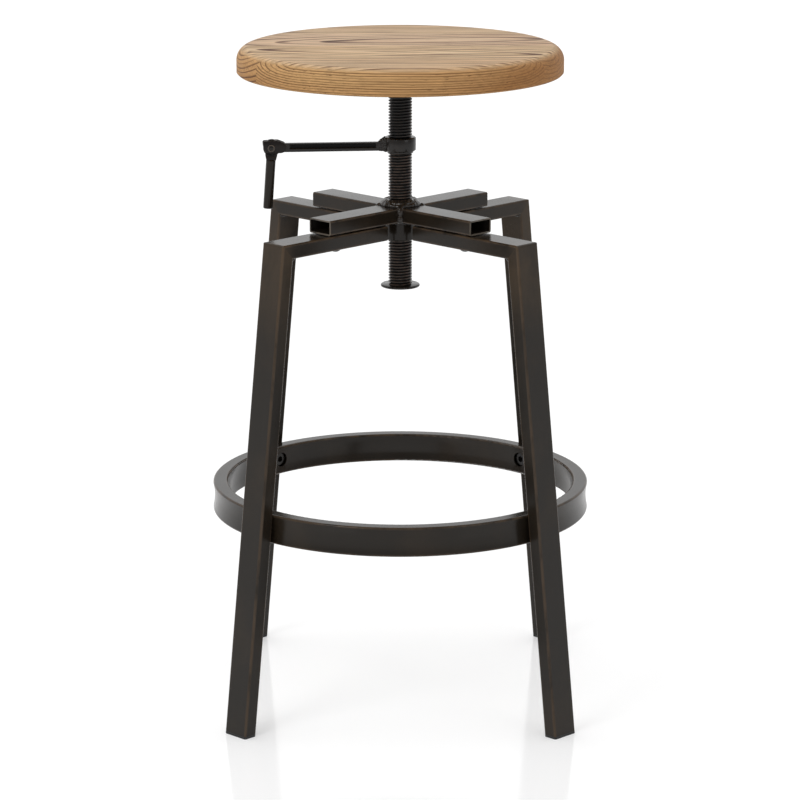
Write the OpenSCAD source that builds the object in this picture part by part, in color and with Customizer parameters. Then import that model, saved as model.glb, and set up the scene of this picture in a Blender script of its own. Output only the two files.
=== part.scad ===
// Bar stool. A round seat of glued boards swivels on top of a crank-turned screw.
// The screw runs in a welded hub, which four leaning tube legs carry.
// A ring of the same flat tube ties the legs together and is the foot rest.
// Millimetres, +Z up. The origin is on the floor, under the axis of the screw.
// The front is -Y, and the crank arm points to -X.

/* [Flat tube] */
// Width of the flat steel tube of the arms and legs
tube_w = 30; // [24:1:36]
// Thickness of that tube
tube_t = 15; // [12:0.5:18]
// Wall of the tube
tube_wall = 1.5; // [1:0.1:2]
// Outer corner radius of the tube
tube_r = 2; // [1.8:0.1:3.5]
// Radius of the ground corner outside a knee
knee_round = 2.5; // [1:0.1:5]

/* [Legs] */
// Height of the top of the leg arms
frame_h = 496.5; // [440:0.5:560]
// Distance from the axis to the outer top corner of a knee
knee_r = 177; // [160:1:190]
// Lean of the legs from the vertical, in degrees
leg_lean = 6.7; // [4:0.1:10]
// Distance from the axis to the inner end of a leg arm
arm_inner_r = 32.5; // [30:0.5:36]
// Leg of the fillet weld inside a knee
knee_weld = 3; // [1:0.5:5]
// Thickness of the foot plug's flange
foot_flange_t = 2.5; // [1:0.5:5]
// Depth of the foot plug inside the leg
foot_plug_l = 18; // [8:1:30]
// Gap between a foot plug and the inside of the leg
foot_plug_gap = 0.15; // [0.05:0.05:0.4]

/* [Cross tubes] */
// Distance from the axis to the open end of a cross tube
cross_r = 113; // [108:1:120]
// Distance from the axis to the outer bolt of a leg arm
outer_bolt_r = 92; // [75:1:98]
// Distance from the axis to the inner bolt of a leg arm
inner_bolt_r = 44; // [42:1:55]

/* [Leg bolts] */
// Diameter of the outer leg bolts
outer_bolt_d = 8; // [6:0.5:8]
// Head diameter of the outer leg bolts
outer_head_d = 14; // [12:0.5:16]
// Head height of the outer leg bolts
outer_head_h = 4.8; // [3:0.1:6]
// Hex key size of the outer leg bolts
outer_key = 5; // [3:0.5:6]
// Diameter of the inner leg bolts
inner_bolt_d = 6; // [5:0.5:6]
// Head diameter of the inner leg bolts
inner_head_d = 10.5; // [9:0.5:12]
// Head height of the inner leg bolts
inner_head_h = 3.6; // [2.5:0.1:5]
// Hex key size of the inner leg bolts
inner_key = 4; // [3:0.5:5]
// Length of a leg bolt past the top of the leg arm
bolt_bite = 9; // [6:0.5:11]
// Gap round a bolt in a plain hole
bolt_gap = 0.3; // [0.1:0.05:0.5]
// Thickness of the insert flanges between leg arm and cross tube
insert_flange_t = 1; // [0.5:0.1:2]
// Width of an insert's flange round its body
insert_lip = 2.5; // [1.5:0.1:3]
// Wall of an insert's body
insert_wall = 1.5; // [1:0.1:2]
// Gap between the touching faces of a screw and its thread
thread_gap = 0.05; // [0.02:0.01:0.1]

/* [Hub] */
// Outer diameter of the hub sleeve
sleeve_d = 32; // [30:0.5:36]
// Height of the sleeve above the cross tubes
sleeve_above = 6; // [3:0.5:12]
// Length of the sleeve below the leg arms
sleeve_below = 4; // [0:0.5:10]
// Leg of the fillet weld round the sleeve
hub_weld = 3.3; // [1.5:0.1:4]
// Radius of the upright weld beads between the cross tubes
corner_weld_r = 3.5; // [2:0.1:5]

/* [Foot ring] */
// Height of the top of the foot ring
ring_top_z = 225.5; // [180:0.5:280]
// Height of the ring's tube
ring_h = 30; // [24:0.5:36]
// Thickness of the ring's tube from inside to outside
ring_t = 15; // [13:0.5:18]
// How far the ring's upright walls are dished in the middle
ring_dish = 1.5; // [0.5:0.1:2]
// Gap between the top edge of the ring and the legs
ring_gap = 0.25; // [0.1:0.05:0.6]
// Diameter of the ring bolts
ring_bolt_d = 8; // [6:0.5:8]
// Head diameter of the ring bolts
ring_head_d = 13; // [11:0.5:13.5]
// Head height of the ring bolts
ring_head_h = 8; // [5:0.5:8]
// Hex key size of the ring bolts
ring_key = 6; // [4:0.5:7]
// Depth of a ring bolt's key socket
ring_key_depth = 4; // [2:0.5:4.5]
// Diameter of the access holes in the ring's inner wall
ring_access_d = 15; // [14:0.5:17]
// Length of a ring insert inside the leg
ring_insert_l = 9; // [6:0.5:10]

/* [Screw] */
// Crest diameter of the screw
screw_d = 24; // [22:0.5:25]
// Pitch of the thread, which is the rise for one turn
thread_pitch = 3; // [2:0.25:4]
// Depth of the thread
thread_depth = 1.84; // [1.2:0.02:2.2]
// Length of the threaded part
screw_l = 199; // [180:0.5:220]
// Length of screw that stands out of the hub, up to the bearing
screw_out = 111; // [95:1:125]
// Radial gap between the screw and the hub
screw_gap = 0.05; // [0.02:0.01:0.09]
// Diameter of the stop washer
stop_d = 40; // [34:0.5:46]
// Thickness of the stop washer
stop_t = 2.5; // [1.5:0.1:4]
// Diameter of the screw that holds the stop washer
stop_screw_d = 8; // [6:0.5:10]
// Length of that screw inside the threaded rod
stop_screw_l = 22; // [12:1:30]
// Head diameter of that screw
stop_head_d = 13; // [11:0.5:16]
// Head height of that screw
stop_head_h = 2.6; // [2:0.1:5]

/* [Crank] */
// Diameter of the crank collar
collar_d = 32; // [30:0.5:36]
// Height of the crank collar
collar_h = 14; // [12:0.5:18]
// Chamfer of the crank collar and the hub sleeve
collar_chamfer = 0.8; // [0.2:0.1:1.2]
// Distance from the bearing shoulder down to the collar
collar_drop = 47; // [38:0.5:52]
// Distance from the screw's axis to the grip pin
crank_r = 131; // [126:1:134]
// Turn of the crank towards the front, in degrees
crank_turn = 5; // [0:1:20]
// Height of the crank arm's bar
crank_h = 9; // [8:0.1:9]
// Thickness of the crank arm's bar
crank_t = 5; // [4:0.1:6]
// Distance from the collar's bottom up to the arm's centre line
crank_up = 4.6; // [4.5:0.1:7]
// Height of the recess in the arm's sides
recess_h = 5.6; // [3:0.1:6.5]
// Distance from the recess to each end of the arm
recess_end = 9; // [8:0.5:20]
// Depth of the recess in the arm's sides
recess_depth = 0.8; // [0.2:0.1:1.4]
// Length of the weld that joins the arm to the collar
crank_weld_l = 7.5; // [4:0.5:12]
// Thickness of a clevis cheek
cheek_t = 2; // [1.5:0.1:3]
// Reach of a cheek past the pin, away from the screw
cheek_out = 8.7; // [8:0.1:10]
// Reach of a cheek from the pin along the arm
cheek_in = 15.6; // [14:0.1:18]
// Height of a cheek above the pin
cheek_up = 7.9; // [7:0.1:9]
// Depth of a cheek below the pin
cheek_down = 5.2; // [4.8:0.1:6]

/* [Grip] */
// Diameter of the grip pin
pin_d = 6; // [5:0.1:7]
// Head diameter of the grip pin
pin_head_d = 7.4; // [7.2:0.1:9]
// Head height of the grip pin
pin_head_h = 1.3; // [0.8:0.1:2]
// Radial gap between the grip and its pin
pin_gap = 0.05; // [0.02:0.01:0.09]
// Radius of the grip's eye
eye_r = 8.7; // [8:0.1:9]
// Side gap between the grip's tang and a cheek
tang_gap = 0.2; // [0.1:0.05:0.4]
// Distance from the pin to the end of the flat tang
tang_l = 12.4; // [12.2:0.1:16]
// Width of the tang where it meets the bar
tang_w = 9.6; // [9:0.1:11]
// Width of the tang just under the pin
tang_top_w = 12.3; // [11:0.1:13]
// Distance from the pin to where the tang starts to narrow
tang_shoulder = 6.8; // [6.6:0.1:8]
// Diameter of the grip bar
grip_d = 9; // [8:0.1:10]
// Distance from the pin to the end of the grip
grip_l = 62.2; // [50:0.1:64]
// Outward lean of the hanging grip, in degrees
grip_lean = 4; // [0:1:10]

/* [Swivel] */
// Diameter of the screw's journal
journal_d = 20; // [18:0.5:21]
// Outer diameter of the thrust bearing
bearing_d = 35; // [34:0.5:38]
// Thickness of a bearing race
race_t = 2.2; // [1.5:0.05:3]
// Diameter of a bearing ball
ball_d = 5; // [4:0.5:5]
// Number of bearing balls
ball_count = 12; // [8:1:14]
// Gap between a ball and a race
ball_gap = 0.3; // [0.2:0.05:0.4]
// Thickness of the ball cage
cage_t = 2; // [1:0.1:3]
// Gap between a ball and the cage
cage_gap = 0.15; // [0.05:0.05:0.2]
// Wall of the bearing cup
cup_wall = 3; // [2:0.5:4]
// Thickness of the bearing cup's cap
cup_cap_t = 6; // [4:0.5:8]
// Radial gap between the lower race and the cup
cup_gap = 0.4; // [0.3:0.05:0.8]
// Radial gap of the journal in the cup's cap
journal_gap = 0.05; // [0.02:0.01:0.09]
// Thickness of the retaining ring
clip_t = 1.2; // [0.8:0.1:2]
// Outer diameter of the retaining ring
clip_d = 26; // [24:0.5:30]
// Depth of the retaining ring's groove
clip_groove = 0.8; // [0.4:0.1:1.2]
// Gap between the retaining ring and what is next to it
clip_gap = 0.2; // [0.1:0.05:0.4]

/* [Seat plate] */
// Side of the square seat plate
plate_w = 120; // [110:1:140]
// Thickness of the seat plate
plate_t = 3; // [2:0.5:5]
// Corner radius of the seat plate
plate_r = 10; // [4:1:16]
// Distance between the wood screws along each side
plate_screw_pitch = 96; // [80:1:100]
// Diameter of the wood screws
wood_screw_d = 5; // [4:0.5:6]
// Length of a wood screw inside the seat
wood_screw_l = 18; // [10:1:22]
// Head diameter of the wood screws
wood_head_d = 11; // [8:0.5:12]
// Head height of the wood screws
wood_head_h = 3; // [2:0.1:4]

/* [Seat] */
// Diameter of the seat
seat_d = 330; // [300:1:360]
// Thickness of the seat
seat_t = 26.5; // [24:0.5:34]
// Radius of the seat's top edge
seat_top_r = 13; // [4:0.5:14]
// Chamfer of the seat's bottom edge
seat_chamfer = 1.5; // [0.5:0.5:6]
// Width of a seat board
board_w = 84; // [78:1:110]
// Diameter of the pocket in the seat's underside
pocket_d = 34; // [32:1:44]
// Depth of that pocket
pocket_h = 8; // [7:0.5:12]

/* [Hidden] */
$fn = 64;

// Directions of the four legs, seen from above
front_left = 225;
front_right = 315;
rear_left = 135;
rear_right = 45;
leg_directions = [front_left, front_right, rear_left, rear_right];

// Overlap of a cutting shape past the face that it cuts
cut = 1;
// Length of a cutting block that takes away all on one side of a plane
block = 1500;

// Heights of the frame
arm_bottom_z = frame_h - tube_t;
cross_bottom_z = frame_h + insert_flange_t;
cross_top_z = cross_bottom_z + tube_t;
sleeve_top_z = cross_top_z + sleeve_above;
sleeve_bottom_z = arm_bottom_z - sleeve_below;
ring_mid_z = ring_top_z - ring_h / 2;

// Leg faces as distances from the axis
foot_r = knee_r + frame_h * tan(leg_lean);
function leg_outer_r(z) = foot_r - z * tan(leg_lean);
function leg_inner_r(z) = leg_outer_r(z) - tube_t / cos(leg_lean);
knee_inner_r = leg_inner_r(arm_bottom_z);
mitre = (90 - leg_lean) / 2;
ring_r = leg_inner_r(ring_top_z) - ring_gap;

// Heights of what rises with the screw
shoulder_z = sleeve_top_z + screw_out;
thread_bottom_z = shoulder_z - screw_l;
collar_top_z = shoulder_z - collar_drop;
collar_bottom_z = collar_top_z - collar_h;
crank_z = collar_bottom_z + crank_up;
bearing_h = 2 * race_t + ball_d + 2 * ball_gap;
cup_ceiling_z = shoulder_z + bearing_h;
plate_bottom_z = cup_ceiling_z + cup_cap_t;
seat_bottom_z = plate_bottom_z + plate_t;
clip_z = seat_bottom_z + clip_gap;
journal_top_z = clip_z + clip_t + 2;

// Radii that pieces share
bearing_r = bearing_d / 2;
race_inner_r = journal_d / 2 + 0.5;
ball_path_r = (journal_d / 2 + bearing_r + thread_gap) / 2;
cheek_y = crank_t / 2 + cheek_t / 2;
insert_r = function(bolt_d) bolt_d / 2 + thread_gap + insert_wall;

// Colours
iron = [0.19, 0.175, 0.16];
black_iron = [0.11, 0.105, 0.10];
steel = [0.62, 0.62, 0.63];
zinc = [0.45, 0.45, 0.46];
oak = [0.72, 0.54, 0.36];
dark_oak = [0.64, 0.46, 0.29];
plastic = [0.08, 0.08, 0.08];

// A rectangle with round corners, centred
module rounded_rect(w, h, r) {
    square([w - 2 * r, h], center = true);
    square([w, h - 2 * r], center = true);
    for (x = [-1, 1], y = [-1, 1])
        translate([x * (w / 2 - r), y * (h / 2 - r)]) circle(r = r);
}

// The wall section of a hollow tube
module tube_section(w, h) {
    difference() {
        rounded_rect(w, h, tube_r);
        rounded_rect(w - 2 * tube_wall, h - 2 * tube_wall, tube_r - tube_wall);
    }
}

// Turns a piece drawn along +X to each leg's direction
module each_leg() {
    for (a = leg_directions) rotate([0, 0, a]) children();
}

// A flat tube along +X between two distances, at a middle height
module flat_tube(from_r, to_r, mid_z) {
    translate([from_r, 0, mid_z]) rotate([90, 0, 90])
        linear_extrude(to_r - from_r) tube_section(tube_w, tube_t);
}

// A cylinder along +X from one distance to another
module radial_rod(from_r, to_r, r, z) {
    translate([from_r, 0, z]) rotate([0, 90, 0]) cylinder(h = to_r - from_r, r = r);
}

// A button head under a face at z = 0, with a key socket from below
module button_head(d, h, key) {
    cap_r = (d * d / 4 + h * h) / (2 * h);
    difference() {
        intersection() {
            translate([0, 0, cap_r - h]) sphere(r = cap_r);
            translate([0, 0, -h]) cylinder(h = h, r = d);
        }
        translate([0, 0, -h - cut]) cylinder(h = h / 2 + cut, d = key / cos(30), $fn = 6);
    }
}

// Seat

// The whole seat blank, its top edge rounded and its bottom edge chamfered
module seat_blank() {
    r = seat_d / 2;
    translate([0, 0, seat_bottom_z]) rotate_extrude() difference() {
        square([r, seat_t]);
        translate([r - seat_top_r, seat_t - seat_top_r]) difference() {
            square(seat_top_r + cut);
            circle(r = seat_top_r);
        }
        polygon([[r - seat_chamfer, -cut], [r + cut, -cut], [r + cut, seat_chamfer],
                 [r, seat_chamfer], [r - seat_chamfer, 0]]);
    }
}

// One board between two glue joints
module seat_board(from_y, to_y) {
    difference() {
        intersection() {
            seat_blank();
            translate([-seat_d, from_y, seat_bottom_z - cut])
                cube([2 * seat_d, to_y - from_y, seat_t + 2 * cut]);
        }
        translate([0, 0, seat_bottom_z - cut]) cylinder(h = pocket_h + cut, d = pocket_d);
        at_wood_screws() translate([0, 0, seat_bottom_z - cut])
            cylinder(h = wood_screw_l + 1 + cut, r = wood_screw_d / 2 + thread_gap);
    }
}

module at_wood_screws() {
    for (x = [-1, 1], y = [-1, 1])
        translate([x * plate_screw_pitch / 2, y * plate_screw_pitch / 2, 0]) children();
}

module seat_board_front() color(oak) seat_board(-seat_d, -board_w);
module seat_board_mid_front() color(dark_oak) seat_board(-board_w, 0);
module seat_board_mid_rear() color(oak) seat_board(0, board_w);
module seat_board_rear() color(dark_oak) seat_board(board_w, seat_d);

module seat_plate() color(iron) difference() {
    translate([0, 0, plate_bottom_z]) linear_extrude(plate_t)
        rounded_rect(plate_w, plate_w, plate_r);
    translate([0, 0, plate_bottom_z - cut])
        cylinder(h = plate_t + 2 * cut, r = journal_d / 2 + 2 * clip_gap);
    at_wood_screws() translate([0, 0, plate_bottom_z - cut])
        cylinder(h = plate_t + 2 * cut, r = wood_screw_d / 2 + bolt_gap);
}

module wood_screws() color(zinc) at_wood_screws() translate([0, 0, plate_bottom_z]) {
    button_head(wood_head_d, wood_head_h, wood_screw_d * 0.7);
    cylinder(h = plate_t + wood_screw_l, d = wood_screw_d);
}

// Swivel bearing

module bearing_cup() color(iron) difference() {
    translate([0, 0, shoulder_z + race_t / 4])
        cylinder(h = plate_bottom_z - shoulder_z - race_t / 4, r = bearing_r + cup_gap + cup_wall);
    translate([0, 0, shoulder_z - cut])
        cylinder(h = bearing_h + cut, r = bearing_r + thread_gap);
    translate([0, 0, shoulder_z])
        cylinder(h = plate_bottom_z - shoulder_z + cut, r = journal_d / 2 + journal_gap);
}

module race(bottom_z, inner_r, outer_r) {
    translate([0, 0, bottom_z]) difference() {
        cylinder(h = race_t, r = outer_r);
        translate([0, 0, -cut]) cylinder(h = race_t + 2 * cut, r = inner_r);
    }
}

module bearing_upper_race() color(steel)
    race(cup_ceiling_z - race_t, race_inner_r, bearing_r);

module bearing_lower_race() color(steel)
    race(shoulder_z, journal_d / 2 + thread_gap, bearing_r - cup_gap);

module at_balls() {
    for (i = [0 : ball_count - 1])
        rotate([0, 0, i * 360 / ball_count]) translate([ball_path_r, 0, cup_ceiling_z - bearing_h / 2])
            children();
}

module bearing_balls() color(steel) at_balls() sphere(d = ball_d);

module bearing_cage() color(zinc) difference() {
    translate([0, 0, cup_ceiling_z - bearing_h / 2 - cage_t / 2])
        cylinder(h = cage_t, r = bearing_r + thread_gap - cup_gap);
    translate([0, 0, shoulder_z]) cylinder(h = bearing_h, r = journal_d / 2 + cup_gap);
    at_balls() cylinder(h = 2 * cage_t, r = ball_d / 2 + cage_gap, center = true);
}

module retaining_ring() color(zinc) difference() {
    translate([0, 0, clip_z]) cylinder(h = clip_t, d = clip_d);
    translate([0, 0, clip_z - cut])
        cylinder(h = clip_t + 2 * cut, r = journal_d / 2 - clip_groove + thread_gap);
}

// Screw and crank

// Ring-shaped ridges stand in for the thread, one a pitch
module lift_screw() color(black_iron) {
    crest = screw_d / 2;
    root = crest - thread_depth;
    ridges = floor((screw_l - thread_pitch) / thread_pitch);
    ridge_top = ridges * thread_pitch + thread_pitch / 2;
    difference() {
        translate([0, 0, thread_bottom_z]) rotate_extrude() polygon(concat(
            [[0, 0], [root, 0]],
            [for (i = [0 : ridges - 1], p = [[root, 0], [crest, 3], [crest, 4], [root, 7]])
                [p[0], thread_pitch / 2 + (i + p[1] / 8) * thread_pitch]],
            [[root, ridge_top], [root, screw_l], [journal_d / 2, screw_l],
             [journal_d / 2, journal_top_z - thread_bottom_z - 1],
             [journal_d / 2 - 1, journal_top_z - thread_bottom_z],
             [0, journal_top_z - thread_bottom_z]]));
        translate([0, 0, thread_bottom_z - cut])
            cylinder(h = stop_screw_l + 1 + cut, r = stop_screw_d / 2 + thread_gap);
        translate([0, 0, clip_z]) difference() {
            cylinder(h = clip_t, d = journal_d + cut);
            translate([0, 0, -cut])
                cylinder(h = clip_t + 2 * cut, r = journal_d / 2 - clip_groove);
        }
    }
}

// Turns what is drawn along +X to the crank's direction
module crank_frame() rotate([0, 0, 180 + crank_turn]) translate([0, 0, crank_z]) children();

// Draws a side outline, x outwards and y up, as a slab of thickness t in the crank's plane
module side_slab(t) rotate([90, 0, 0]) linear_extrude(t, center = true) children();

// A tube whose outer edges are chamfered at both ends
module chamfered_tube(h, inner_r, outer_r) rotate_extrude()
    polygon([[inner_r, 0], [outer_r - collar_chamfer, 0], [outer_r, collar_chamfer],
             [outer_r, h - collar_chamfer], [outer_r - collar_chamfer, h], [inner_r, h]]);

module crank_collar() color(black_iron) translate([0, 0, collar_bottom_z])
    chamfered_tube(collar_h, screw_d / 2 + thread_gap, collar_d / 2);

arm_end_r = crank_r - eye_r - 0.8;
arm_root_r = collar_d / 2;

module crank_arm() color(black_iron) crank_frame() difference() {
    side_slab(crank_t)
        translate([arm_root_r - 2, -crank_h / 2]) square([arm_end_r - arm_root_r + 2, crank_h]);
    cylinder(h = 2 * collar_h, r = arm_root_r, center = true);
    recess_from = arm_root_r + recess_end;
    recess_to = arm_end_r - recess_end;
    for (side = [-1, 1]) translate([0, side * (crank_t + cut) / 2, 0])
        side_slab(2 * recess_depth + cut) {
            translate([recess_from, -recess_h / 2]) square([recess_to - recess_from, recess_h]);
            for (x = [recess_from, recess_to]) translate([x, 0]) circle(d = recess_h);
        }
}

// The weld fans out from the bar to the height of the collar
module crank_weld() color(black_iron) crank_frame() {
    bar_half = crank_h / 2;
    weld_r = arm_root_r + crank_weld_l;
    difference() {
        intersection() {
            side_slab(collar_d) polygon([
                [arm_root_r - 6, -crank_up], [arm_root_r + 1, -crank_up],
                [weld_r - 3, -bar_half], [weld_r, -bar_half], [weld_r, bar_half],
                [weld_r - 3, bar_half + 1.2], [arm_root_r + 2, collar_h - crank_up - 1.6],
                [arm_root_r + 0.6, collar_h - crank_up], [arm_root_r - 6, collar_h - crank_up]]);
            linear_extrude(3 * collar_h, center = true) polygon([
                [weld_r, -crank_t / 2], [weld_r, crank_t / 2],
                [arm_root_r - 3.2, collar_d * 0.3], [arm_root_r - 6, collar_d * 0.3],
                [arm_root_r - 6, -collar_d * 0.3], [arm_root_r - 3.2, -collar_d * 0.3]]);
        }
        cylinder(h = 3 * collar_h, r = arm_root_r, center = true);
        side_slab(crank_t) translate([0, -bar_half]) square([2 * weld_r, crank_h]);
    }
}

// Two lozenge cheeks, drawn from the pin outwards as the photographed outline
module crank_clevis() color(black_iron) crank_frame() translate([crank_r, 0, 0])
    for (side = [-1, 1]) translate([0, side * cheek_y, 0]) difference() {
        side_slab(cheek_t) polygon([
            [cheek_out, 0.91 * cheek_up], [0, 0.96 * cheek_up], [-0.42 * cheek_in, cheek_up],
            [-0.94 * cheek_in, 0.62 * cheek_up], [-cheek_in, 0],
            [-0.94 * cheek_in, -0.69 * cheek_down], [-0.67 * cheek_in, -cheek_down],
            [0.67 * cheek_out, -cheek_down], [0.98 * cheek_out, 0.23 * cheek_up]]);
        rotate([90, 0, 0])
            cylinder(h = 3 * cheek_t, r = pin_d / 2 + thread_gap, center = true);
    }

module grip_pin() color(black_iron) crank_frame() translate([crank_r, 0, 0]) rotate([90, 0, 0]) {
    half = crank_t / 2 + cheek_t;
    cylinder(h = 2 * half, d = pin_d, center = true);
    for (side = [0, 180]) rotate([side, 0, 0]) translate([0, 0, half]) difference() {
        cylinder(h = pin_head_h, d = pin_head_d);
        translate([0, 0, pin_head_h / 2]) cylinder(h = pin_head_h, d = pin_head_d / 2);
    }
}

// Hangs a piece drawn down from z = 0 on the grip pin
module grip_frame() crank_frame() translate([crank_r, 0, 0]) rotate([0, -grip_lean, 0]) children();

// A round eye on the pin, and a blade that narrows towards the bar
module grip_tang() color(black_iron) grip_frame() {
    tang_t = crank_t - 2 * tang_gap;
    bore_r = pin_d / 2 + pin_gap;
    difference() {
        side_slab(tang_t) circle(r = eye_r);
        rotate([90, 0, 0]) cylinder(h = 2 * crank_t, r = bore_r, center = true);
    }
    side_slab(tang_t) polygon([
        [-tang_top_w / 2, -bore_r - cut / 2], [tang_top_w / 2, -bore_r - cut / 2],
        [tang_top_w / 2, -tang_shoulder], [tang_w / 2, -tang_l],
        [-tang_w / 2, -tang_l], [-tang_top_w / 2, -tang_shoulder]]);
}

module grip_bar() color(black_iron) grip_frame()
    translate([0, 0, -grip_l]) cylinder(h = grip_l - tang_l, d = grip_d);

module stop_washer() color(black_iron) difference() {
    translate([0, 0, thread_bottom_z - stop_t]) cylinder(h = stop_t, d = stop_d);
    translate([0, 0, thread_bottom_z - stop_t - cut])
        cylinder(h = stop_t + 2 * cut, r = stop_screw_d / 2 + bolt_gap);
}

module stop_screw() color(black_iron) translate([0, 0, thread_bottom_z - stop_t]) {
    button_head(stop_head_d, stop_head_h, stop_screw_d / 2);
    cylinder(h = stop_t + stop_screw_l, d = stop_screw_d);
}

// Hub and cross tubes

module hub_sleeve() color(iron) translate([0, 0, sleeve_bottom_z])
    chamfered_tube(sleeve_top_z - sleeve_bottom_z, screw_d / 2 + screw_gap, sleeve_d / 2);

module hub_welds() color(iron) {
    r = sleeve_d / 2;
    translate([0, 0, cross_top_z]) rotate_extrude()
        polygon([[r, 0], [r + hub_weld, 0], [r + hub_weld * 0.6, hub_weld * 0.6], [r, hub_weld]]);
    translate([0, 0, cross_bottom_z]) rotate_extrude()
        polygon([[r, 0], [r + hub_weld, 0], [r + hub_weld * 0.6, -hub_weld * 0.6], [r, -hub_weld]]);
    for (a = [0 : 90 : 270]) rotate([0, 0, a])
        translate([0, 0, cross_bottom_z + tube_r]) linear_extrude(tube_t - 2 * tube_r) difference() {
            translate([tube_w / 2 * sqrt(2) + corner_weld_r / 5, 0]) circle(r = corner_weld_r);
            for (turn = [-45, 45]) rotate(turn) square([4 * tube_w, tube_w], center = true);
        }
}

// Each cross tube is mitred to its neighbours and cut out for the sleeve
module cross_tube(direction) color(iron) rotate([0, 0, direction]) difference() {
    flat_tube(0, cross_r, cross_bottom_z + tube_t / 2);
    translate([0, 0, cross_bottom_z - cut]) cylinder(h = tube_t + 2 * cut, d = sleeve_d);
    for (side = [-1, 1]) rotate([0, 0, side * 45])
        translate([-2 * tube_w, side == 1 ? 0 : -2 * tube_w, cross_bottom_z - cut])
            cube([4 * tube_w, 2 * tube_w, tube_t + 2 * cut]);
    translate([outer_bolt_r, 0, cross_bottom_z - cut])
        cylinder(h = tube_wall + 2 * cut, r = insert_r(outer_bolt_d) + thread_gap);
    translate([inner_bolt_r, 0, cross_bottom_z - cut])
        cylinder(h = tube_wall + 2 * cut, r = insert_r(inner_bolt_d) + thread_gap);
}

// Legs

// All that lies beyond the mitre plane of a knee
module beyond_mitre() translate([knee_r, 0, frame_h]) rotate([0, mitre, 0])
    translate([0, -block / 2, -block / 2]) cube(block);

// What is ground off the sharp corner outside a knee
module knee_corner() {
    half = 90 - mitre;
    reach = knee_round / tan(half);
    translate([knee_r, 0, frame_h]) rotate([0, mitre, 0]) rotate([90, 0, 0])
        linear_extrude(2 * tube_w, center = true) difference() {
            polygon([[0, cut], [reach * sin(half), -reach * cos(half)],
                     [0, -knee_round / sin(half)], [-reach * sin(half), -reach * cos(half)]]);
            translate([0, -knee_round / sin(half)]) circle(r = knee_round);
        }
}

module leg_arm(direction) color(iron) rotate([0, 0, direction]) difference() {
    flat_tube(arm_inner_r, knee_r + tube_t, frame_h - tube_t / 2);
    beyond_mitre();
    knee_corner();
    for (b = [[outer_bolt_r, outer_bolt_d], [inner_bolt_r, inner_bolt_d]])
        translate([b[0], 0, arm_bottom_z - cut])
            cylinder(h = tube_t + 2 * cut, r = b[1] / 2 + bolt_gap);
}

// Draws a section as a prism along a leg, its outer face on the leg's outer face
module along_leg(length) translate([foot_r, 0, 0]) rotate([0, -leg_lean, 0])
    translate([-tube_t / 2, 0, -tube_t]) rotate([0, 0, 90]) linear_extrude(length) children();

module floor_slab(from_z, to_z) translate([-block / 2, -block / 2, from_z])
    cube([block, block, to_z - from_z]);

module leg(direction) color(iron) rotate([0, 0, direction]) difference() {
    intersection() {
        along_leg(frame_h / cos(leg_lean) + 3 * tube_t) tube_section(tube_w, tube_t);
        beyond_mitre();
    }
    knee_corner();
    floor_slab(-2 * tube_t, foot_flange_t);
    radial_rod(leg_inner_r(ring_mid_z) - tube_t, leg_inner_r(ring_mid_z) + ring_insert_l,
               insert_r(ring_bolt_d) + thread_gap, ring_mid_z);
}

module foot(direction) color(plastic) rotate([0, 0, direction]) {
    intersection() {
        along_leg(4 * tube_t) rounded_rect(tube_w, tube_t, tube_r);
        floor_slab(0, foot_flange_t);
    }
    inset = tube_wall + foot_plug_gap;
    intersection() {
        along_leg(4 * tube_t)
            rounded_rect(tube_w - 2 * inset, tube_t - 2 * inset, tube_r - tube_wall);
        floor_slab(foot_flange_t, foot_flange_t + foot_plug_l);
    }
}

module knee_welds() color(iron) each_leg()
    rotate([90, 0, 0]) linear_extrude(tube_w - 2 * tube_r, center = true)
        polygon([[knee_inner_r, arm_bottom_z], [knee_inner_r - knee_weld, arm_bottom_z],
                 [leg_inner_r(arm_bottom_z - knee_weld), arm_bottom_z - knee_weld]]);

// Bolts and inserts of the leg arms

module leg_bolts(r, bolt_d, head_d, head_h, key) color(black_iron) each_leg()
    translate([r, 0, arm_bottom_z]) {
        button_head(head_d, head_h, key);
        cylinder(h = tube_t + insert_flange_t + bolt_bite, d = bolt_d);
    }

module outer_leg_bolts() leg_bolts(outer_bolt_r, outer_bolt_d, outer_head_d, outer_head_h, outer_key);
module inner_leg_bolts() leg_bolts(inner_bolt_r, inner_bolt_d, inner_head_d, inner_head_h, inner_key);

module leg_inserts(r, bolt_d) color(zinc) each_leg() translate([r, 0, frame_h]) difference() {
    union() {
        cylinder(h = insert_flange_t, r = insert_r(bolt_d) + insert_lip);
        cylinder(h = insert_flange_t + bolt_bite - 0.5, r = insert_r(bolt_d));
    }
    translate([0, 0, -cut])
        cylinder(h = insert_flange_t + bolt_bite + 2 * cut, r = bolt_d / 2 + thread_gap);
}

module outer_inserts() leg_inserts(outer_bolt_r, outer_bolt_d);
module inner_inserts() leg_inserts(inner_bolt_r, inner_bolt_d);

// Foot ring

ring_face_r = ring_r - ring_dish;
ring_wall_r = ring_face_r - tube_wall;
ring_seat_r = sqrt(pow(ring_wall_r, 2) - pow(ring_head_d / 2, 2)) - thread_gap;
dish_half = ring_h / 2 - tube_r;
dish_arc_r = (pow(dish_half, 2) + pow(ring_dish, 2)) / (2 * ring_dish);

// A rounded rectangle whose two upright sides are dished
module dished_rect(w, h, r, arc_r) difference() {
    rounded_rect(w, h, r);
    for (side = [-1, 1]) translate([side * (ring_t / 2 - ring_dish + dish_arc_r), 0]) circle(r = arc_r);
}

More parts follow.
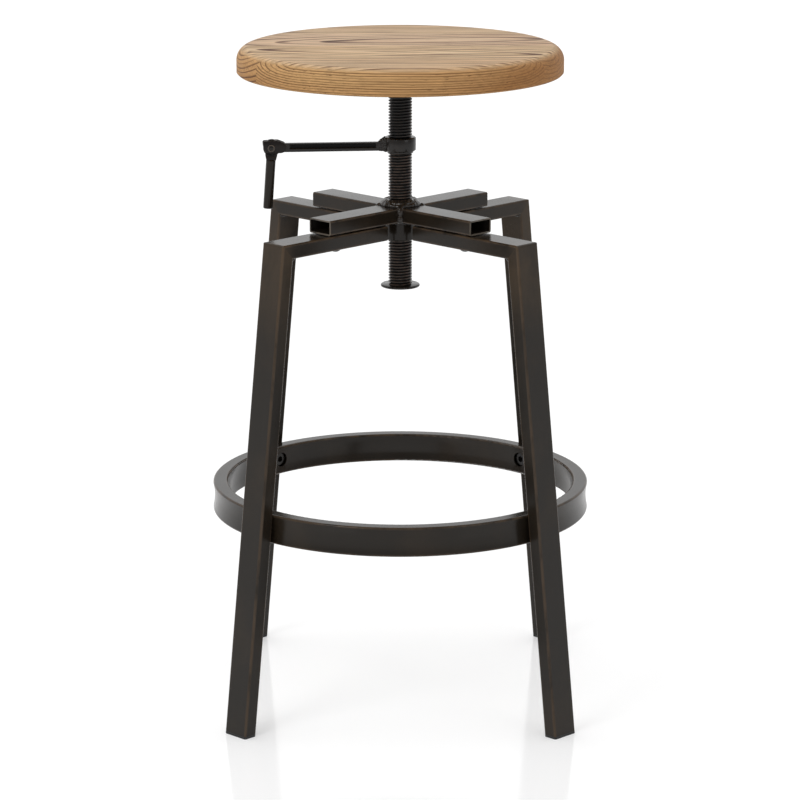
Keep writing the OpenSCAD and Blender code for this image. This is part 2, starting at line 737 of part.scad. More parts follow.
module foot_ring() color(iron) difference() {
    rotate_extrude($fn = 128) translate([ring_r - ring_t / 2, ring_mid_z]) difference() {
        dished_rect(ring_t, ring_h, tube_r, dish_arc_r);
        dished_rect(ring_t - 2 * tube_wall, ring_h - 2 * tube_wall, tube_r - tube_wall,
                    dish_arc_r + tube_wall);
    }
    each_leg() radial_rod(ring_r - ring_t - cut, ring_r - ring_t / 2, ring_access_d / 2, ring_mid_z);
    each_leg() radial_rod(ring_r - ring_t / 2, ring_r + cut, ring_bolt_d / 2 + bolt_gap, ring_mid_z);
}

module ring_bolts() color(black_iron) each_leg() difference() {
    union() {
        radial_rod(ring_seat_r - ring_head_h, ring_seat_r, ring_head_d / 2, ring_mid_z);
        radial_rod(ring_seat_r - ring_head_h, leg_inner_r(ring_mid_z) + ring_insert_l - 1,
                   ring_bolt_d / 2, ring_mid_z);
    }
    translate([ring_seat_r - ring_head_h - cut, 0, ring_mid_z]) rotate([0, 90, 0])
        cylinder(h = ring_key_depth + cut, d = ring_key / cos(30), $fn = 6);
}

// The bevelled flange fills the wedge between the dished ring and the leaning leg
ring_flange_r = insert_r(ring_bolt_d) + insert_lip;
flange_from_r = ring_face_r + dish_arc_r - sqrt(pow(dish_arc_r, 2) - pow(ring_flange_r, 2));

module ring_inserts() color(zinc) each_leg() difference() {
    union() {
        intersection() {
            radial_rod(flange_from_r, ring_r + tube_t, ring_flange_r, ring_mid_z);
            translate([foot_r, 0, 0]) rotate([0, -leg_lean, 0])
                translate([-tube_t - block, -block / 2, -block / 2]) cube(block);
        }
        radial_rod(flange_from_r, leg_inner_r(ring_mid_z) + ring_insert_l, insert_r(ring_bolt_d),
                   ring_mid_z);
    }
    radial_rod(ring_r - ring_t, ring_r + 3 * tube_t, ring_bolt_d / 2 + thread_gap, ring_mid_z);
}

seat_board_front();
seat_board_mid_front();
seat_board_mid_rear();
seat_board_rear();
seat_plate();
bearing_cup();
wood_screws();
bearing_upper_race();
bearing_cage();
bearing_balls();
bearing_lower_race();
retaining_ring();
lift_screw();
crank_collar();
crank_arm();
crank_weld();
crank_clevis();
grip_pin();
stop_washer();
stop_screw();
grip_tang();
grip_bar();
hub_sleeve();
hub_welds();
cross_tube(front_left);  // cross_tube_front_left
cross_tube(front_right);  // cross_tube_front_right
cross_tube(rear_left);  // cross_tube_rear_left
cross_tube(rear_right);  // cross_tube_rear_right
leg_arm(front_left);  // leg_arm_front_left
leg_arm(front_right);  // leg_arm_front_right
leg_arm(rear_left);  // leg_arm_rear_left
leg_arm(rear_right);  // leg_arm_rear_right
leg(front_left);  // leg_front_left
leg(front_right);  // leg_front_right
leg(rear_left);  // leg_rear_left
leg(rear_right);  // leg_rear_right
knee_welds();
outer_leg_bolts();
inner_leg_bolts();
outer_inserts();
inner_inserts();
foot_ring();
ring_bolts();
ring_inserts();
foot(front_left);  // foot_front_left
foot(front_right);  // foot_front_right
foot(rear_left);  // foot_rear_left
foot(rear_right);  // foot_rear_right
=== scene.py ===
# %% [markdown]
# This lesson dresses a bar stool whose round seat is screwed up and down with a crank.
# The stool's pieces come from its CAD model, which is loaded as a fixed frame.
# Steel tubes, boards and the ring keep their CAD shape and get real finishes here.
# Small turned, forged and welded pieces are modelled again, because their charm is in soft details.

import random
from math import cos, pi, radians, sin, sqrt, tan

import bpy
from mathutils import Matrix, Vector


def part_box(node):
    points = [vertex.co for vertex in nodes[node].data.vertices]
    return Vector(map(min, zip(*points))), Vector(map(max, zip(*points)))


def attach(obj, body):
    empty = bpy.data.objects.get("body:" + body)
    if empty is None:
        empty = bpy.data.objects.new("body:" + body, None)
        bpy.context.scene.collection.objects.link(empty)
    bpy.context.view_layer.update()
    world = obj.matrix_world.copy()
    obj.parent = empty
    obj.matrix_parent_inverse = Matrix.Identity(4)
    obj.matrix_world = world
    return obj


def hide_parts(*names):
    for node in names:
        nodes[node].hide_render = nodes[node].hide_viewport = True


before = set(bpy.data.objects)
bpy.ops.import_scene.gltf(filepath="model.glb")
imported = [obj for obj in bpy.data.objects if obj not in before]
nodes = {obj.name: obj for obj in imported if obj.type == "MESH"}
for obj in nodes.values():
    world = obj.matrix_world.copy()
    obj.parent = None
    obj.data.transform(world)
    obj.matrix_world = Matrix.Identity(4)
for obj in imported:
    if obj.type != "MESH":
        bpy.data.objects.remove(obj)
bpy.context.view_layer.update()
mm = 0.001

# %% [markdown]
# A product picture like this one is taken from far away with a long lens, so that the legs hardly
# converge. A camera could be moved by eye until it looks right, but the lens length follows from how
# large the stool is in the frame and how far the camera stands, so both are written down as numbers. The
# camera looks straight along +Y and is tipped down a little, which shows the seat's top as a flat oval.

# %% Camera
image_width_px = 800
focal_px = 3576
principal_x_px = 400.25
camera_back = 3.58
camera_height = 1.191
camera_tip = radians(13.86)
lens = bpy.data.cameras.new("photo_lens")
lens.sensor_width = 36
lens.lens = focal_px * lens.sensor_width / image_width_px
lens.shift_x = (image_width_px / 2 - principal_x_px) / image_width_px
lens.clip_end = 100
camera = bpy.data.objects.new("camera", lens)
bpy.context.scene.collection.objects.link(camera)
camera.location = (0, -camera_back, camera_height)
camera.rotation_euler = (pi / 2 - camera_tip, 0, 0)
bpy.context.scene.camera = camera
print("lens", round(lens.lens, 1), "mm")

# %% [markdown]
# Materials are trees of small nodes, and writing each link by hand hides what a finish is made of.
# These helpers add a node with its values, and do sums.

# %% Helpers for shader nodes
def add(tree, kind, inputs=None, **settings):
    """Adds a node, sets its properties, and sets or links its inputs by name or number."""
    made = tree.nodes.new(kind)
    for name, value in settings.items():
        setattr(made, name, value)
    for name, value in (inputs or {}).items():
        if isinstance(value, bpy.types.NodeSocket):
            tree.links.new(value, made.inputs[name])
        else:
            made.inputs[name].default_value = value
    return made


def maths(tree, operation, a, b=0.0, c=0.0):
    """One Math node, and the socket of its result."""
    return add(tree, "ShaderNodeMath", {0: a, 1: b, 2: c}, operation=operation).outputs[0]


def times(tree, a, b):
    """One value times another."""
    return maths(tree, "MULTIPLY", a, b)


def scaled(tree, value, factor, offset):
    """A value times a factor, plus an offset."""
    return maths(tree, "MULTIPLY_ADD", value, factor, offset)


print("helpers for nodes are ready")

# %% [markdown]
# Two more helpers do most of the painting: a soft step makes a mask from any value, and a mix lays one
# colour over another by such a mask. A hard step would be simpler, but it leaves a jagged border in the
# render.

# %% Helpers for masks and mixing
def smooth(tree, value, low, high):
    """A soft step: 0 below low and 1 above high, or the other way round if high is the lower."""
    made = add(tree, "ShaderNodeMapRange", {"Value": value, "From Min": low, "From Max": high},
               interpolation_type="SMOOTHSTEP")
    return made.outputs["Result"]


def mix(tree, share, a, b, blend="MIX"):
    """Mixes two colours, and gives the socket of the result."""
    made = add(tree, "ShaderNodeMix", data_type="RGBA", blend_type=blend)
    for name, value in (("Factor", share), ("A", a), ("B", b)):
        kind = "VALUE" if name == "Factor" else "RGBA"
        socket = next(s for s in made.inputs if s.name == name and s.type == kind)
        if isinstance(value, bpy.types.NodeSocket):
            tree.links.new(value, socket)
        else:
            socket.default_value = value
    return next(s for s in made.outputs if s.type == "RGBA")


print("helpers for masks and mixing are ready")

# %% [markdown]
# Each finish is one material round one Principled shader, and its colours are known as they look on a
# screen. A shader takes linear light instead, so a helper turns a screen colour of 0 to 255 into that.

# %% Helpers for materials and colours
def new_material(name):
    """A material with one Principled shader, its tree and that shader."""
    made = bpy.data.materials.new(name)
    made.use_nodes = True
    return made, made.node_tree, made.node_tree.nodes["Principled BSDF"]


def linear(red, green, blue):
    """A colour given as 0 to 255 on the screen, as the linear colour that a shader takes."""
    def one(v):
        v = v / 255
        return v / 12.92 if v <= 0.04045 else ((v + 0.055) / 1.055) ** 2.4
    return (one(red), one(green), one(blue), 1)


print("a mid grey of 128 is", round(linear(128, 128, 128)[0], 3), "in linear light")

# %% [markdown]
# The backdrop is a white studio sweep. The camera and the gloss see it as plain white. What lights the
# stool is softer: bright from behind and above, dimmer from the camera's side, because a studio is dark
# behind the photographer. Dark metal shows that difference as its shading. A curved sweep with many lamps
# would do it too, but a world colour by direction is simpler and has no noise.

# %% White world
white = (1, 1, 1, 1)
camera_side_grey = (0.42, 0.42, 0.43, 1)
right_side_grey = (0.72, 0.72, 0.72, 1)
mirror_grey = (0.52, 0.52, 0.53, 1)
world = bpy.data.worlds.new("studio")
bpy.context.scene.world = world
world.use_nodes = True
sky = world.node_tree
looking = add(sky, "ShaderNodeTexCoord").outputs["Generated"]
direction = add(sky, "ShaderNodeSeparateXYZ", {0: looking}).outputs
light_path = add(sky, "ShaderNodeLightPath").outputs
mirrored = maths(sky, "MAXIMUM", light_path["Is Glossy Ray"], light_path["Is Transmission Ray"])
from_behind = smooth(sky, direction["Y"], -0.9, 0.2)
from_right = smooth(sky, direction["X"], -0.2, 0.9)
lighting = mix(sky, from_behind, camera_side_grey, white)
lighting = mix(sky, from_right, lighting, mix(sky, 1.0, lighting, right_side_grey, "MULTIPLY"))
backdrop = mix(sky, smooth(sky, direction["Y"], -0.3, 0.75), mirror_grey, white)
unseen = mix(sky, mirrored, lighting, backdrop)
seen_sky = mix(sky, light_path["Is Camera Ray"], unseen, white)
sky.links.new(seen_sky, sky.nodes["Background"].inputs["Color"])
print("world with", len(sky.nodes), "nodes")

# %% [markdown]
# The floor is a glossy white sheet. It has to look pure white and still hold the stool's shadow and
# reflection. More lamps would burn the stool out, so the floor glows a little, but only where the camera
# or a mirror sees it.

# %% White floor
floor_size = 40
floor_glow = 0.335
bpy.ops.mesh.primitive_plane_add(size=floor_size, location=(0, 0, 0))
floor = bpy.context.object
floor.name = "studio_floor"
floor_material, tree, surface = new_material("white_floor")
surface.inputs["Base Color"].default_value = (0.80, 0.80, 0.80, 1)
surface.inputs["Roughness"].default_value = 0.10
surface.inputs["Specular IOR Level"].default_value = 0.22
glow = add(tree, "ShaderNodeEmission", {"Color": white, "Strength": floor_glow})
floor_path = add(tree, "ShaderNodeLightPath").outputs
seen = maths(tree, "MAXIMUM", floor_path["Is Camera Ray"], floor_path["Is Glossy Ray"])
seen = maths(tree, "MAXIMUM", seen, floor_path["Is Transmission Ray"])
lit = add(tree, "ShaderNodeAddShader", {0: surface.outputs[0], 1: glow.outputs[0]})
chosen = add(tree, "ShaderNodeMixShader", {0: seen, 1: surface.outputs[0], 2: lit.outputs[0]})
tree.links.new(chosen.outputs[0], tree.nodes["Material Output"].inputs["Surface"])
floor.data.materials.append(floor_material)
print("floor of", floor_size, "m")

# %% [markdown]
# Two soft boxes stand left and right of the camera, as in a studio. The left one is the stronger, so it
# gives the faces a light and a dark side. They are large, so their shadows have no hard edge.

# %% Soft boxes
def soft_box(name, place, target, size, watts):
    """A square area lamp at a place, turned to face a target."""
    lamp = bpy.data.lights.new(name, "AREA")
    lamp.shape = "SQUARE"
    lamp.size = size
    lamp.energy = watts
    made = bpy.data.objects.new(name, lamp)
    bpy.context.scene.collection.objects.link(made)
    made.location = place
    made.rotation_euler = (Vector(target) - Vector(place)).to_track_quat("-Z", "Y").to_euler()


middle = (0, 0, 0.4)
soft_box("key_left", (-2.2, -2.6, 2.6), middle, 1.6, 36)
soft_box("fill_right", (2.6, -2.4, 1.8), middle, 1.6, 10)
bpy.context.scene.view_settings.view_transform = "Standard"

# %% [markdown]
# Worn edges are what makes a steel tube look used, and their lighter colour also paints the highlight that
# the rounded corners catch. They could be painted on by hand, but a mask that is worked out from where a
# point lies in its tube fits every tube. For that it needs the frame's sizes. All tubes lie on the stool's
# diagonals, and most of the sizes can be read from the CAD model's boxes.

# %% Sizes of the frame that the finishes follow
tube_half_w = 15 * mm
tube_half_t = 7.5 * mm
arm_low_z, arm_top_z = (corner.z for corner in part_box("leg_arm_front_left"))
cross_bottom_z, cross_top_z = (corner.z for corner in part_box("cross_tube_front_left"))
lean = radians(6.7)
foot_r = 235.32 * mm
cross_r = 113 * mm
ring_low, ring_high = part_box("foot_ring")
ring_mid_r = ring_high.x - tube_half_t
ring_mid_z = (ring_low.z + ring_high.z) / 2
print("ring radius", round(ring_high.x / mm, 1), "at height", round(ring_mid_z / mm, 1))

# %% [markdown]
# A flat tube has two wide and two narrow faces, and it wears where they meet, which is also where a painted
# highlight goes.
# A point is near such an edge when its distances from a wide face and from a narrow face add up to little.
# All tube finishes need this sum, so it is a node group of its own that gives a mask from 0 to 1.

# %% Node group: which edge of a flat tube is near
def new_group(name, inputs, outputs):
    """A node group whose sockets are given as (name, kind), with its input and output nodes."""
    group = bpy.data.node_groups.new(name, "ShaderNodeTree")
    for sockets, way in ((inputs, "INPUT"), (outputs, "OUTPUT")):
        for socket, kind in sockets:
            group.interface.new_socket(socket, in_out=way, socket_type="NodeSocket" + kind)
    return group, group.nodes.new("NodeGroupInput").outputs, group.nodes.new("NodeGroupOutput").inputs


def make_edge_group():
    """A mask that is 1 on a tube's long edges, and 0 further away from them than the reach."""
    numbers = [(name, "Float") for name in ("Across", "Half Across", "Through", "Half Through", "Reach")]
    group, given, out = new_group("tube_edge", numbers, [("Mask", "Float")])
    from_side = maths(group, "SUBTRACT", given["Half Across"], maths(group, "ABSOLUTE", given["Across"]))
    from_face = maths(group, "SUBTRACT", given["Half Through"], maths(group, "ABSOLUTE", given["Through"]))
    near = maths(group, "DIVIDE", maths(group, "ADD", from_side, from_face), given["Reach"])
    group.links.new(smooth(group, near, 1.0, 0.2), out["Mask"])
    return group


edge_group = make_edge_group()
print("node group", edge_group.name, "with", len(edge_group.nodes), "nodes")

# %% [markdown]
# The steel is coated in a dark bronze powder: a little mottled, brown where hands have worn it warm,
# worn to a lighter brown along its edges, a brown that is also a painted highlight of the rounded corners,
# and grey where the tube was sawn off. Each of these is a colour laid over the last by its own mask, and
# broken up by noise, so that none looks drawn.

# %% Node group: the powder coat
handled_brown = linear(64, 51, 35)
sawn_grey = linear(112, 103, 92)


def noise(tree, vector, scale, detail=2, roughness=0.5):
    """A noise pattern, and the socket of its value."""
    inputs = {"Vector": vector, "Scale": scale, "Detail": detail, "Roughness": roughness}
    return add(tree, "ShaderNodeTexNoise", inputs).outputs["Fac"]


def make_coat_group():
    """The coat's colour, roughness and grain, from its three colours and the masks of where it is worn."""
    masks = [(name, "Float") for name in ("Edge", "Warm", "Cut", "Wear")]
    colours = [(name, "Color") for name in ("Base", "Patch", "Worn")]
    group, given, out = new_group("powder_coat", [("Vector", "Vector")] + masks + colours,
                                  [("Color", "Color"), ("Roughness", "Float"), ("Height", "Float")])
    drawn = add(group, "ShaderNodeMapping", {"Vector": given["Vector"], "Scale": (1, 1, 0.3)}).outputs[0]
    clouds = noise(group, given["Vector"], 14, 4, 0.55)
    rubs = noise(group, drawn, 70, 4, 0.6)
    specks = noise(group, given["Vector"], 1100)
    coat = mix(group, smooth(group, clouds, 0.40, 0.72), given["Base"], given["Patch"])
    handled = times(group, given["Warm"], smooth(group, clouds, 0.25, 0.60))
    coat = mix(group, times(group, handled, 0.75), coat, handled_brown)
    # Worn edges, whose lighter colour is also the painted highlight of the tube's rounded corners.
    worn_and_lit_edge = scaled(group, given["Warm"], 0.18, given["Edge"])
    worn_and_lit_edge = times(group, worn_and_lit_edge, smooth(group, rubs, 0.26, 0.62))
    worn_and_lit_edge = maths(group, "MINIMUM", times(group, worn_and_lit_edge, given["Wear"]), 1.0)
    coat = mix(group, worn_and_lit_edge, coat, given["Worn"])
    cut = times(group, given["Cut"], smooth(group, rubs, 0.30, 0.60))
    group.links.new(mix(group, cut, coat, sawn_grey), out["Color"])
    gloss = scaled(group, clouds, 0.22, 0.06)
    group.links.new(scaled(group, specks, 0.08, gloss), out["Roughness"])
    group.links.new(scaled(group, rubs, 0.6, specks), out["Height"])
    return group


coat_group = make_coat_group()
print("node group", coat_group.name, "with", len(coat_group.nodes), "nodes")

# %% [markdown]
# The tube finishes differ only in how they find their edges: legs lean, arms and cross tubes lie flat,
# and the foot ring is bent round the axis. Folding X and Y over gives a point's place along and across
# its tube, so one material serves all four legs. The tops of the legs are handled most, so they are
# warmer and browner.

# %% Where a point lies in a leg
def own_place(tree):
    """A point's place on its piece, whole and as X, Y and Z."""
    place = add(tree, "ShaderNodeTexCoord").outputs["Object"]
    return place, add(tree, "ShaderNodeSeparateXYZ", {0: place}).outputs


def fold(tree):
    """The point's place, how far out it is along its diagonal, how far across, and its coordinates."""
    place, axes = own_place(tree)
    x = maths(tree, "ABSOLUTE", axes["X"])
    y = maths(tree, "ABSOLUTE", axes["Y"])
    out = times(tree, maths(tree, "ADD", x, y), sqrt(0.5))
    across = times(tree, maths(tree, "SUBTRACT", x, y), sqrt(0.5))
    return place, out, across, axes


def leg_frame(tree):
    """A leg leans outwards from its knee, and is handled near the top."""
    place, out, across, axes = fold(tree)
    outer = scaled(tree, axes["Z"], -tan(lean), foot_r)
    through = scaled(tree, maths(tree, "SUBTRACT", out, outer), cos(lean), tube_half_t)
    warm = smooth(tree, axes["Z"], arm_top_z - 110 * mm, arm_top_z - 12 * mm)
    return {"Vector": place, "Across": across, "Through": through, "Warm": warm}


print("a leg leans", round(tan(lean), 4), "m outwards for each metre down")

# %% [markdown]
# Arms and cross tubes lie flat on the same diagonals, one on top of the other. Measured from the seam
# between them, both start at the same distance, so they can share one frame. A sawn end shows bare steel,
# and only the last half millimetre of a cross tube is such an end.

# %% Where a point lies in an arm or a cross tube
def flat_frame(tree):
    """An arm and the cross tube on top of it lie flat, as far below the seam between them as above it."""
    place, out, across, axes = fold(tree)
    seam = (arm_top_z + cross_bottom_z) / 2
    away = maths(tree, "ABSOLUTE", maths(tree, "SUBTRACT", axes["Z"], seam))
    through = maths(tree, "SUBTRACT", away, tube_half_t + (cross_bottom_z - arm_top_z) / 2)
    return {"Vector": place, "Across": across, "Through": through, "Out": out}


def arm_frame(tree):
    """A leg arm is handled near its knee."""
    known = flat_frame(tree)
    known["Warm"] = smooth(tree, known["Out"], 158 * mm, 182 * mm)
    return known


def cross_frame(tree):
    """A cross tube is sawn off at its outer end."""
    known = flat_frame(tree)
    known["Cut"] = smooth(tree, known["Out"], cross_r - 0.7 * mm, cross_r - 0.3 * mm)
    return known


print("the seam lies at", round((arm_top_z + cross_bottom_z) / 2 / mm, 2), "mm")

# %% [markdown]
# The foot ring is a flat tube on edge that was rolled into a circle. Its distance from the screw's axis
# takes the place of a straight tube's depth. Small parts such as bolts have no tube to follow at all.

# %% Where a point lies in the ring or on a small part
def from_axis(tree, axes):
    """How far a point is from the screw's axis."""
    flat = add(tree, "ShaderNodeCombineXYZ", {"X": axes["X"], "Y": axes["Y"]}).outputs[0]
    return add(tree, "ShaderNodeVectorMath", {0: flat}, operation="LENGTH").outputs["Value"]


def ring_frame(tree):
    """The foot ring stands on edge, so its wide faces are upright."""
    place, axes = own_place(tree)
    across = maths(tree, "SUBTRACT", axes["Z"], ring_mid_z)
    through = maths(tree, "SUBTRACT", from_axis(tree, axes), ring_mid_r)
    return {"Vector": place, "Across": across, "Through": through}


def no_frame(tree):
    """A small part has no tube to follow, so its edges aren't worn."""
    return {"Vector": add(tree, "ShaderNodeTexCoord").outputs["Object"]}


print("the ring's middle runs at radius", round(ring_mid_r / mm, 1), "mm")

# %% [markdown]
# A coat on a part is three things put together: where the part's edges are, which colours it has and how
# much it shines. Bronze coat and blackened steel differ only in these, so one function makes all of them.
# The grain is bump only, because powder is far too fine to be modelled.

# %% One coat for every steel part
# How wide and how strong the worn edges and their painted highlight are.
edge_reach = 2.9 * mm
edge_wear_and_sheen = 0.7


def coated(name, find_edges, colours, bump=0.06, specular=0.25):
    """A powder-coated finish whose worn edges are found by one of the frames above."""
    made, tree, shader = new_material(name)
    known = find_edges(tree)
    coat = add(tree, "ShaderNodeGroup", node_tree=coat_group)
    if "Across" in known:
        near = add(tree, "ShaderNodeGroup", {
            "Across": known["Across"], "Through": known["Through"], "Half Across": tube_half_w,
            "Half Through": tube_half_t, "Reach": edge_reach}, node_tree=edge_group)
        known["Edge"] = near.outputs["Mask"]
    for socket in ("Vector", "Edge", "Warm", "Cut"):
        if socket in known:
            tree.links.new(known[socket], coat.inputs[socket])
    for socket, colour in zip(("Base", "Patch", "Worn"), colours):
        coat.inputs[socket].default_value = linear(*colour)
    coat.inputs["Wear"].default_value = edge_wear_and_sheen
    height = coat.outputs["Height"]
    grain = add(tree, "ShaderNodeBump", {"Strength": bump, "Distance": 0.2 * mm, "Height": height})
    tree.links.new(coat.outputs["Color"], shader.inputs["Base Color"])
    tree.links.new(coat.outputs["Roughness"], shader.inputs["Roughness"])
    tree.links.new(grain.outputs[0], shader.inputs["Normal"])
    shader.inputs["Specular IOR Level"].default_value = specular
    return made


print("worn edges are", round(edge_reach / mm, 1), "mm wide")

# %% [markdown]
# Each finish gets three screen colours: the plain one, that of its patches, and that of its worn edges,
# which also paints their highlight.
# The frame is bronze and its welds are a little lighter. The crank's parts are blackened, which shines
# more on turned parts and less on forged ones, and the hollow of the crank arm is painted almost black as
# painted shade.

# %% Bronze and black finishes
bronze = ((34, 29, 23), (44, 36, 27), (94, 76, 58))
leg_bronze = coated("leg_bronze", leg_frame, bronze)
arm_bronze = coated("arm_bronze", arm_frame, bronze)
cross_bronze = coated("cross_bronze", cross_frame, bronze)
ring_bronze = coated("ring_bronze", ring_frame, bronze)
part_bronze = coated("part_bronze", no_frame, bronze)
weld_bronze = coated("weld_bronze", no_frame, ((36, 31, 26), (54, 46, 38), (66, 57, 48)), specular=0.4)
black_steel = coated("blackened_steel", no_frame, ((17, 14, 12), (35, 28, 22), (60, 50, 40)),
                     bump=0.12, specular=0.35)
forged_black = coated("forged_black", no_frame, ((24, 20, 18), (36, 30, 26), (60, 50, 40)),
                      bump=0.12, specular=0.2)
hollow_shade_black = coated("hollow_painted_shade", no_frame, ((5, 4, 4), (8, 7, 6), (8, 7, 6)), specular=0.1)
# Rubbed and bare steel are worn spots whose lighter colour also paints the highlight of eased edges and of
# the rivet ring.
rubbed_and_lit_steel = coated("rubbed_and_lit_steel", no_frame, ((50, 44, 38), (62, 55, 47), (72, 63, 54)), specular=0.12)
bare_and_lit_steel = coated("bare_and_lit_steel", no_frame, ((84, 77, 70), (110, 101, 92), (110, 101, 92)))
print("coats:", [m.name for m in bpy.data.materials])

# %% [markdown]
# The screw's thread is black in its grooves, and a dull brown on the crests that run in the hub, partly
# worn there and partly a painted highlight. A mask painted along the helix would have to follow every turn.
# How far a point is from the screw's axis says the same, whether it is a crest or a groove, in one sum. The
# turns above the collar never enter the hub, and their crests are kept darker, also as painted seat shade.

# %% Thread finish
groove_black = linear(9, 8, 7)
crest_wear_and_sheen = linear(76, 62, 53)


def thread_finish():
    """Oiled black with crests that are brown where they run in the hub, as wear and as a painted highlight,
    and darker above the collar, where they don't wear and the seat's shade is painted.
    """
    made, tree, shader = new_material("oiled_thread")
    place, axes = own_place(tree)
    wear = noise(tree, place, 160, 4, 0.65)
    # The crests get brown wear that is also a painted highlight.
    crest = smooth(tree, from_axis(tree, axes), 10.9 * mm, 11.9 * mm)
    crest = times(tree, crest, smooth(tree, wear, 0.30, 0.60))
    collar_low, collar_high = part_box("crank_collar")
    # Above the collar the crests stay darker: no wear there, and painted shade from the seat.
    hub_wear_and_seat_shade = smooth(tree, axes["Z"], collar_high.z + 4 * mm, collar_low.z)
    crest = times(tree, crest, scaled(tree, hub_wear_and_seat_shade, 0.75, 0.25))
    tree.links.new(mix(tree, crest, groove_black, crest_wear_and_sheen), shader.inputs["Base Color"])
    tree.links.new(scaled(tree, wear, 0.2, 0.22), shader.inputs["Roughness"])
    shader.inputs["Specular IOR Level"].default_value = 0.35
    return made


oiled_thread = thread_finish()
print("thread finish:", oiled_thread.name)

# %% [markdown]
# Inserts are zinc plated, bearing races are ground bright, and the feet are moulded plastic.
# They hardly show, so each is one colour that clouds a little, with a gloss that clouds along with it.

# %% Zinc, bearing steel and moulded plastic
def clouded(name, colour, metallic, low, high, scale):
    """A finish whose colour and roughness, from low to high, vary a little from place to place."""
    made, tree, shader = new_material(name)
    cloud = noise(tree, add(tree, "ShaderNodeTexCoord").outputs["Object"], scale, 4, 0.6)
    darker = tuple(0.72 * c for c in colour[:3]) + (1,)
    tree.links.new(mix(tree, cloud, darker, colour), shader.inputs["Base Color"])
    tree.links.new(scaled(tree, cloud, high - low, low), shader.inputs["Roughness"])
    shader.inputs["Metallic"].default_value = metallic
    return made


zinc = clouded("zinc_plate", linear(168, 168, 170), 1.0, 0.25, 0.5, 260)
bearing_steel = clouded("bearing_steel", linear(205, 205, 207), 1.0, 0.08, 0.2, 120)
foot_plastic = clouded("foot_plastic", linear(26, 26, 26), 0.0, 0.45, 0.65, 500)
print("clouded finishes:", zinc.name, bearing_steel.name, foot_plastic.name)

# %% [markdown]
# The seat is four boards. Wood isn't a picture on a surface: it is a solid of nested rings round the
# tree's heart. Each board is cut somewhere beside that heart, so its rings show as long lines and pointed
# arches on top, as level lines on the front, and as curls where the round rim cuts across their ends. The
# heart of a bent tree wanders off the board, which closes the arches at both ends: that is the bow. Noise
# that is drawn out along the grain makes the rings wander, so no two lines run quite alike.

# %% The rings of a board
def stretched(group, given, scale, squeeze, detail, roughness=0.5, shift=0.0):
    """Noise drawn out along X, the grain. Squeeze is its scale on each axis, and shift a new start."""
    drawn = add(group, "ShaderNodeMapping", {"Vector": given["Vector"], "Scale": squeeze}).outputs[0]
    inputs = {"Vector": drawn, "W": maths(group, "ADD", given["Seed"], shift), "Scale": scale,
              "Detail": detail, "Roughness": roughness}
    return add(group, "ShaderNodeTexNoise", inputs, noise_dimensions="4D").outputs["Fac"]


def line_noise(group, value, scale, detail=2):
    """Noise along a single value."""
    inputs = {"W": value, "Scale": scale, "Detail": detail}
    return add(group, "ShaderNodeTexNoise", inputs, noise_dimensions="1D").outputs["Fac"]


def ring_count(group, given):
    """How many rings lie between the heart and a point. It is whole where one ring meets the next."""
    axes = add(group, "ShaderNodeSeparateXYZ", {0: given["Vector"]}).outputs
    along = maths(group, "SUBTRACT", axes["X"], given["Bow X"])
    lift = times(group, times(group, along, along), given["Bow"])
    heart_y = scaled(group, axes["X"], given["Drift"], given["Heart Y"])
    aside = maths(group, "SUBTRACT", axes["Y"], heart_y)
    ahead = times(group, maths(group, "MINIMUM", aside, 0.0), given["Ahead"])
    aside = maths(group, "ADD", maths(group, "MAXIMUM", aside, 0.0), ahead)
    side = maths(group, "DIVIDE", aside, given["Flatness"])
    up = maths(group, "SUBTRACT", axes["Z"], maths(group, "ADD", given["Heart Z"], lift))
    radius = maths(group, "SQRT", maths(group, "ADD", times(group, side, side), times(group, up, up)))
    bends = maths(group, "SUBTRACT", stretched(group, given, 11, (0.35, 1, 1), 2), 0.5)
    ripples = maths(group, "SUBTRACT", stretched(group, given, 55, (0.30, 1, 1), 2, shift=3.0), 0.5)
    radius = scaled(group, bends, given["Wander"], radius)
    radius = scaled(group, ripples, 1.0 * mm, radius)
    turns = maths(group, "DIVIDE", radius, given["Ring"])
    uneven = line_noise(group, maths(group, "ADD", turns, given["Seed"]), 0.6, 1)
    return scaled(group, uneven, 0.6, turns)


print("helpers for rings are ready")

# %% [markdown]
# A tree grows pale wood in spring and a dark line late in the year, so every ring ends in a line that
# starts softly and stops sharply. Some years leave a strong line and others a faint one. Planed softwood
# also shows short dark strokes along the grain. Contours of a drawn-out noise give those.

# %% Dark lines and strokes
def late_wood(group, given, turns, phase):
    """The dark line at the end of each ring, not equally strong each year, and broken here and there."""
    line = times(group, smooth(group, phase, 0.54, 0.88), smooth(group, phase, 1.0, 0.93))
    strength = smooth(group, line_noise(group, maths(group, "FLOOR", turns), 5.3), 0.30, 0.62)
    unbroken = smooth(group, stretched(group, given, 300, (0.05, 1, 1), 2, shift=5.0), 0.15, 0.42)
    return times(group, times(group, line, scaled(group, strength, 0.45, 0.55)), unbroken)


def strokes(group, given, lasting):
    """Thin strokes with one sharp side, and faint broad bands."""
    bands = smooth(group, stretched(group, given, 120, (0.05, 1, 3), 5, 0.7, 29.0), 0.50, 0.62)
    contours = times(group, stretched(group, given, 26, (0.05, 1, 2), 1.5, 0.5, 37.0), 6.5)
    step = maths(group, "FRACT", contours)
    thin = times(group, smooth(group, step, 0.40, 0.50), smooth(group, step, 0.58, 0.53))
    thin = times(group, thin, lasting)
    return maths(group, "MAXIMUM", times(group, bands, 0.16), times(group, thin, 0.7))


print("helpers for lines are ready")

# %% [markdown]
# All four boards use the same grain with other values, so it is one node group.
# It puts out masks only, and each board's material decides what colour a line, a stroke or a pore has.

